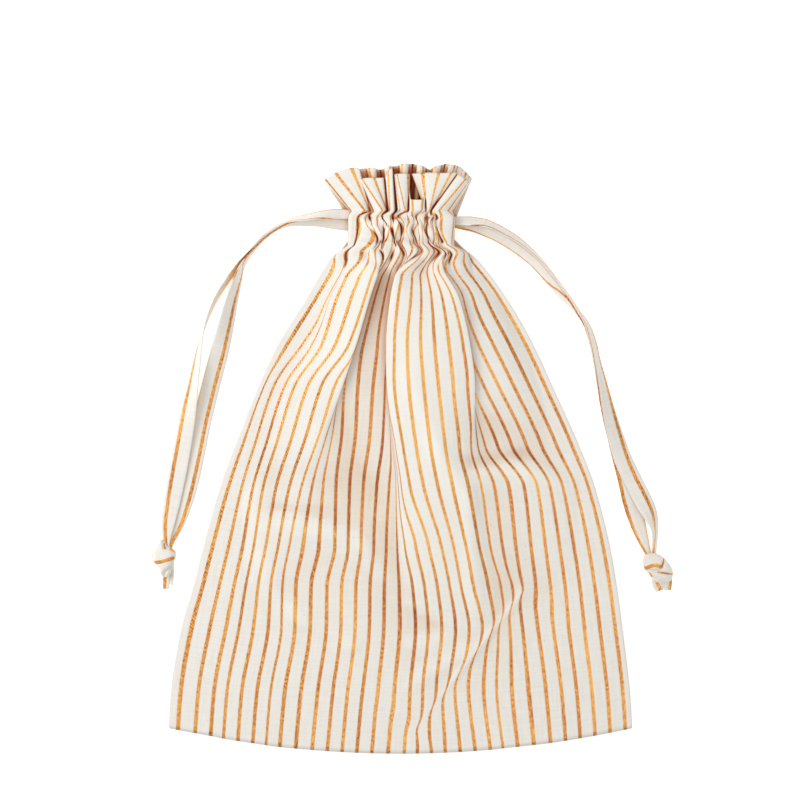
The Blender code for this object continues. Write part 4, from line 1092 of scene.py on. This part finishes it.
def striped_cotton(name, painted_shade_share, settings):
    """Plain-woven slubby cotton with narrow stripes of glossy rayon yarn in a twill weave.

    The cotton gives a dry, slightly uneven off-white. The rayon gives a satin gleam, and its colour
    runs at random from pale gold to burnt orange; it is painted paler gold on ridges, a painted
    highlight, and redder in hollows,
    a painted shade. The painted shade share is how much of the painted warm shade of the folds the
    colour takes on:
    all of it in one layer, less in the stiffer folded tape.
    """
    material = bpy.data.materials.new(name)
    material.use_nodes = True
    tree = material.node_tree
    shader = tree.nodes["Principled BSDF"]
    place = add_node(tree, "UVMap", {"uv_map": "Cloth"})
    parts = add_node(tree, "SeparateXYZ", links={0: place})
    across, along = parts.outputs[0], parts.outputs[1]

    # The edge of a stripe wanders by a tenth of a millimetre from yarn to yarn
    wander = add_node(tree, "TexNoise", {"Scale": 7.0, "Detail": 2.0}, {"Vector": place})
    drift = add_node(tree, "Math", {"operation": "MULTIPLY_ADD", 1: 0.03, 2: -0.015}, {0: wander})
    shifted = add_node(tree, "Math", {"operation": "ADD"}, {0: across, 1: drift})
    from_stripe = add_node(tree, "Math", {"operation": "PINGPONG", 1: 0.5}, {0: shifted})
    half = settings.stripe_width / MM / PITCH / 2
    stripe = add_node(tree, "MapRange",
                      {"interpolation_type": "SMOOTHSTEP", "From Min": half * 0.72,
                       "From Max": half * 1.22, "To Min": 1.0, "To Max": 0.0},
                      {"Value": from_stripe})

    # The real threads lie about 0.4 mm apart, too fine to show, so they are drawn coarser
    threads = PITCH * MM / settings.thread_spacing
    turns = 2.0 * math.pi * threads
    warp = add_node(tree, "Math", {"operation": "MULTIPLY", 1: turns}, {0: across})
    weft = add_node(tree, "Math", {"operation": "MULTIPLY", 1: turns}, {0: along})
    warp_wave = add_node(tree, "Math", {"operation": "SINE"}, {0: warp})
    weft_wave = add_node(tree, "Math", {"operation": "SINE"}, {0: weft})
    plain_weave = add_node(tree, "Math", {"operation": "MULTIPLY"}, {0: warp_wave, 1: weft_wave})
    diagonal = add_node(tree, "Math", {"operation": "ADD"}, {0: warp, 1: weft})
    twill = add_node(tree, "Math", {"operation": "SINE"}, {0: diagonal})

    # Slubs: yarns that swell for about two centimetres, along the warp and along the weft
    warp_stretch = add_node(tree, "Mapping", {"vector_type": "POINT", "Scale": (9.0, 0.5, 1.0)},
                            {"Vector": place})
    weft_stretch = add_node(tree, "Mapping", {"vector_type": "POINT", "Scale": (0.5, 9.0, 1.0)},
                            {"Vector": place})
    warp_slub = add_node(tree, "TexNoise", {"Scale": 1.0, "Detail": 3.0}, {"Vector": warp_stretch})
    weft_slub = add_node(tree, "TexNoise", {"Scale": 1.0, "Detail": 3.0}, {"Vector": weft_stretch})
    slub = add_node(tree, "Math", {"operation": "ADD"}, {0: warp_slub, 1: weft_slub})
    slub_share = add_node(tree, "MapRange", {"From Min": 0.8, "From Max": 1.35}, {"Value": slub})
    slubby = add_node(tree, "Mix",
                      {"data_type": "RGBA", 6: settings.cream, 7: settings.cream_shade},
                      {0: slub_share})

    # Painted light from the fold height: the cotton is painted paler on ridges (painted highlight)
    # and, below, warmer and darker in hollows (painted shade)
    fold = add_node(tree, "Attribute", {"attribute_name": "Fold height"})
    ridge = add_node(tree, "MapRange", {"From Min": 0.2, "From Max": 4.5},
                     {"Value": fold.outputs["Fac"]})
    hollow = add_node(tree, "MapRange", {"From Min": -0.2, "From Max": -3.4},
                      {"Value": fold.outputs["Fac"]})
    # Painted highlight: paler cream mixed in on ridges
    cotton = add_node(tree, "Mix", {"data_type": "RGBA", 7: settings.cream_painted_highlight},
                      {0: ridge, 6: slubby.outputs[2]})

    # Husk flecks about half a millimetre across, one every square centimetre or so
    specks = add_node(tree, "TexVoronoi", {"Scale": 1.1, "Randomness": 1.0}, {"Vector": place})
    fleck = add_node(tree, "MapRange",
                     {"From Min": 0.02, "From Max": 0.05, "To Min": 0.55, "To Max": 0.0},
                     {"Value": specks.outputs["Distance"]})
    flecked = add_node(tree, "Mix", {"data_type": "RGBA", 7: settings.fleck},
                       {0: fleck, 6: cotton.outputs[2]})

    # The satin yarn shows gold and orange threads side by side, in paler and redder stretches at
    # random; on ridges it is painted paler gold (painted highlight) and in hollows redder, down to
    # russet (painted shade)
    glint = add_node(tree, "TexNoise", {"Scale": 6.5, "Detail": 2.0, "Roughness": 0.7},
                     {"Vector": place})
    stretch = add_node(tree, "Mapping", {"vector_type": "POINT", "Scale": (0.7, 0.16, 1.0)},
                       {"Vector": place})
    dye = add_node(tree, "TexNoise", {"Scale": 1.0, "Detail": 2.0}, {"Vector": stretch})
    thread_tone = add_node(tree, "Math", {"operation": "MULTIPLY_ADD", 1: 0.2}, {0: twill, 2: dye})
    fine_tone = add_node(tree, "Math", {"operation": "MULTIPLY_ADD", 1: 2.2},
                         {0: glint, 2: thread_tone})
    # Painted highlight: the stripe's tone is pushed toward gold on ridges
    ridge_highlight_tone = add_node(tree, "Math", {"operation": "MULTIPLY_ADD", 1: -0.45},
                         {0: ridge, 2: fine_tone})
    # Painted shade: the stripe's tone is pushed toward orange and russet in hollows
    dye_and_painted_light_tone = add_node(tree, "Math", {"operation": "MULTIPLY_ADD", 1: 0.55},
                         {0: hollow, 2: ridge_highlight_tone})
    tone = add_node(tree, "MapRange", {"From Min": 1.2, "From Max": 1.95}, {"Value": dye_and_painted_light_tone})
    lit_satin = add_node(tree, "Mix", {"data_type": "RGBA", 6: settings.gold, 7: settings.orange},
                         {0: tone})
    gap = add_node(tree, "MapRange", {"From Min": 1.6, "From Max": 2.1, "To Max": 1.0},
                   {"Value": dye_and_painted_light_tone})
    satin = add_node(tree, "Mix", {"data_type": "RGBA", 7: settings.russet},
                     {0: gap, 6: lit_satin.outputs[2]})
    colour = add_node(tree, "Mix", {"data_type": "RGBA"},
                      {0: stripe, 6: flecked.outputs[2], 7: satin.outputs[2]})

    # Painted shade: where nearby surfaces close in, in tight folds and between walls, the colour is
    # painted darker and warmer, as light bounced between dyed yarns would look
    nearness = add_node(tree, "AmbientOcclusion", {"samples": 8, "Distance": 0.009})
    walls = add_node(tree, "AmbientOcclusion", {"samples": 8, "Distance": 0.03})
    depth = add_node(tree, "MapRange",
                     {"From Min": 0.1, "From Max": 0.62, "To Min": 1.7 * painted_shade_share, "To Max": 0.0},
                     {"Value": nearness.outputs["AO"]})
    between_walls = add_node(tree, "MapRange",
                             {"From Min": 0.2, "From Max": 0.62, "To Min": 0.6 * painted_shade_share,
                              "To Max": 0.0}, {"Value": walls.outputs["AO"]})
    painted_shade_strength = add_node(tree, "Math", {"operation": "ADD"}, {0: depth, 1: between_walls})
    painted_fold_shade = add_node(tree, "Gamma", {"Color": settings.shade}, {"Gamma": painted_shade_strength})
    tight = add_node(tree, "Mix", {"data_type": "RGBA", "blend_type": "MULTIPLY", 0: 1.0},
                     {6: colour.outputs[2], 7: painted_fold_shade})
    # Painted shade: the colour is multiplied by the warm pocket shade in hollows, by their fold
    # height
    folded = add_node(tree, "Mix",
                      {"data_type": "RGBA", "blend_type": "MULTIPLY", 7: settings.pocket_painted_shade},
                      {0: hollow, 6: tight.outputs[2]})

    # Dull cotton, satin stripe, and a relief of threads and slubs a fraction of a millimetre high
    gloss = add_node(tree, "MapRange", {"To Min": 0.88, "To Max": 0.42}, {"Value": stripe})
    gleam = add_node(tree, "MapRange", {"To Min": 0.0, "To Max": 0.45}, {"Value": stripe})
    weave = add_node(tree, "Mix", {"data_type": "FLOAT"}, {0: stripe, 2: plain_weave, 3: twill})
    relief = add_node(tree, "Math", {"operation": "MULTIPLY_ADD", 1: 0.25}, {0: weave, 2: slub})
    bump = add_node(tree, "Bump", {"Strength": 0.14, "Distance": 0.0003}, {"Height": relief})
    shader.inputs["IOR"].default_value = 1.47
    shader.inputs["Sheen Weight"].default_value = 0.12
    shader.inputs["Sheen Roughness"].default_value = 0.5
    for socket, source in (("Base Color", folded.outputs[2]), ("Roughness", gloss.outputs[0]),
                           ("Metallic", gleam.outputs[0]), ("Normal", bump.outputs[0])):
        tree.links.new(source, shader.inputs[socket])
    return material


def opal_sheet(colour, glow):
    """Matt opal sheet of a light table: a faint glow from below thins the shadows on it."""
    material = bpy.data.materials.new("Opal light table")
    material.use_nodes = True
    tree = material.node_tree
    shader = tree.nodes["Principled BSDF"]
    grain = add_node(tree, "TexNoise", {"Scale": 900.0, "Detail": 2.0})
    bump = add_node(tree, "Bump", {"Strength": 0.05, "Distance": 0.0002}, {"Height": grain})
    shader.inputs["Base Color"].default_value = colour
    shader.inputs["Emission Color"].default_value = WHITE
    shader.inputs["Emission Strength"].default_value = glow
    shader.inputs["Roughness"].default_value = 0.9
    tree.links.new(bump.outputs[0], shader.inputs["Normal"])
    return material


def bag_cloth(name, painted_shade_share):
    """Striped cotton of this name, made at its first use."""
    ready = bpy.data.materials.get(name)
    return ready or striped_cotton(name, painted_shade_share, bpy.context.scene.bag_cloth)


def dress(piece, slot, *nodes):
    """A finished piece rides on the bag and stands for its solids, which are hidden; its slot is
    not used.
    """
    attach(piece, "root")
    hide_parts(*nodes)


class BagStage(bpy.types.Operator):
    """Camera over the bag, soft light and a plain pale floor"""
    bl_idname = "bag.stage"
    bl_label = "Stage"

    def execute(self, context):
        settings = context.scene.bag_stage
        lens = bpy.data.cameras.new("Camera")
        lens.lens = 85.0
        lens.sensor_width = 36.0
        camera = bpy.data.objects.new("Camera", lens)
        camera.location = (*CAMERA_PLACE, settings.camera_height)
        context.scene.collection.objects.link(camera)
        context.scene.camera = camera
        context.scene.view_settings.view_transform = "Standard"
        for name, place, size, power in (
                ("Key light", KEY_PLACE, KEY_SIZE, settings.key_power),
                ("Fill light", FILL_PLACE, FILL_SIZE, settings.fill_power)):
            light = bpy.data.lights.new(name, "AREA")
            light.size = size
            light.energy = power
            lamp = bpy.data.objects.new(name, light)
            lamp.location = place
            aim = Vector(LIGHT_AIM) - Vector(place)
            lamp.rotation_euler = aim.to_track_quat("-Z", "Y").to_euler()
            context.scene.collection.objects.link(lamp)
        world = bpy.data.worlds.new("Even light")
        world.use_nodes = True
        background = world.node_tree.nodes["Background"]
        background.inputs["Color"].default_value = WHITE
        background.inputs["Strength"].default_value = settings.sky
        context.scene.world = world
        bpy.ops.mesh.primitive_plane_add(size=FLOOR_SIZE, location=(0.0, 0.0, FLOOR_Z))
        floor = context.active_object
        floor.name = "Floor"
        floor.data.materials.append(opal_sheet(settings.floor, settings.floor_glow))
        return {"FINISHED"}


class BagTies(bpy.types.Operator):
    """Drawn-out strands of tape, their knots and their short free ends"""
    bl_idname = "bag.ties"
    bl_label = "Ties and knots"

    def execute(self, context):
        settings = context.scene.bag_ties
        cloth = bag_cloth("Folded tape of striped cotton", TAPE_PAINTED_SHADE)
        thickness = settings.thickness / MM
        left_shape = (LEFT_KNOT_OUTLINE, LEFT_KNOT_HEIGHT, LEFT_KNOT_GROOVES,
                      LEFT_KNOT_STRIPES, LEFT_KNOT_EDGES)
        right_shape = (RIGHT_KNOT_OUTLINE, RIGHT_KNOT_HEIGHT, RIGHT_KNOT_GROOVES,
                       RIGHT_KNOT_STRIPES, RIGHT_KNOT_EDGES)
        sides = (
            ("left", left_shape, (("outer", LEFT_OUTER, LEFT_TAIL_OUTER, 0.270),
                                  ("inner", LEFT_INNER, LEFT_TAIL_INNER, 0.265))),
            ("right", right_shape, (("outer", RIGHT_OUTER, RIGHT_TAIL_OUTER, 0.270),
                                    ("inner", RIGHT_INNER, RIGHT_TAIL_INNER, 0.265))),
        )
        for side, shape, strands in sides:
            knot = tied_knot(side + "_knot_of_tape", *shape, cloth)
            dress(knot, "tape", "knot_" + side)
            for layer, route, tail_route, length in strands:
                tail, _ = tape_strand("%s_%s_free_end" % (side, layer), tail_route, TAIL_STEPS,
                                      thickness, cloth)
                dress(tail, "tape", "tail_%s_%s" % (side, layer))
                strand, path = tape_strand("%s_%s_strand" % (side, layer), route, STRAND_STEPS,
                                           thickness, cloth)
                dress(strand, "tape", "tie_%s_%s" % (side, layer))
        return {"FINISHED"}


class BagPanels(bpy.types.Operator):
    """Front and back panels of striped cotton, drawn into pleats at the neck"""
    bl_idname = "bag.panels"
    bl_label = "Cloth panels"

    def execute(self, context):
        settings = context.scene.bag_cloth
        cloth = bag_cloth("Slubby cotton with satin stripes", CLOTH_PAINTED_SHADE)
        columns = np.linspace(CLOTH_LEFT, CLOTH_RIGHT, FRONT_COLUMNS + 1)
        rows = rows_below(front_section, columns, BOTTOM_EDGE_Y, SHOULDER_Y, BODY_ROWS)
        rows += rows_below(front_section, columns, SHOULDER_Y, CASING_LOW_Y, SHOULDER_ROWS)[1:]
        rows = [crease(row) for row in rows]
        rows = [gather(row, columns) for row in rows + casing_rows(columns)]
        rows += heading_rows(columns)
        front = panel_sheet("front_cloth", rows, columns, settings.thickness, cloth)
        columns = np.linspace(CLOTH_LEFT, CLOTH_RIGHT, BACK_COLUMNS + 1)
        rows = rows_below(back_section, columns, BOTTOM_EDGE_Y, CASING_HIGH_Y, BACK_ROWS)
        rows += back_heading_rows(columns)
        back = panel_sheet("back_cloth", rows, columns, settings.thickness, cloth)
        dress(front, "cloth", "front_panel")
        dress(back, "cloth", "back_panel")
        return {"FINISHED"}


class BagSidebar(bpy.types.Panel):
    """Sizes and colours of the bag, and the steps that build it"""
    bl_idname = "VIEW3D_PT_drawstring_bag"
    bl_label = "Drawstring bag"
    bl_space_type = "VIEW_3D"
    bl_region_type = "UI"
    bl_category = "Drawstring bag"

    def draw(self, context):
        for group in (context.scene.bag_stage, context.scene.bag_cloth, context.scene.bag_ties):
            box = self.layout.box()
            for name in group.__annotations__:
                box.prop(group, name)
        for step in (BagStage, BagTies, BagPanels):
            self.layout.operator(step.bl_idname)


CLASSES = (BagClothSettings, BagTieSettings, BagStageSettings,
           BagStage, BagTies, BagPanels, BagSidebar)


def register():
    for item in CLASSES:
        bpy.utils.register_class(item)
    bpy.types.Scene.bag_cloth = PointerProperty(type=BagClothSettings)
    bpy.types.Scene.bag_ties = PointerProperty(type=BagTieSettings)
    bpy.types.Scene.bag_stage = PointerProperty(type=BagStageSettings)


def unregister():
    del bpy.types.Scene.bag_stage
    del bpy.types.Scene.bag_ties
    del bpy.types.Scene.bag_cloth
    for item in reversed(CLASSES):
        bpy.utils.unregister_class(item)


def main():
    register()
    bpy.ops.bag.stage()
    bpy.ops.bag.ties()
    bpy.ops.bag.panels()


if __name__ == "__main__":
    main()
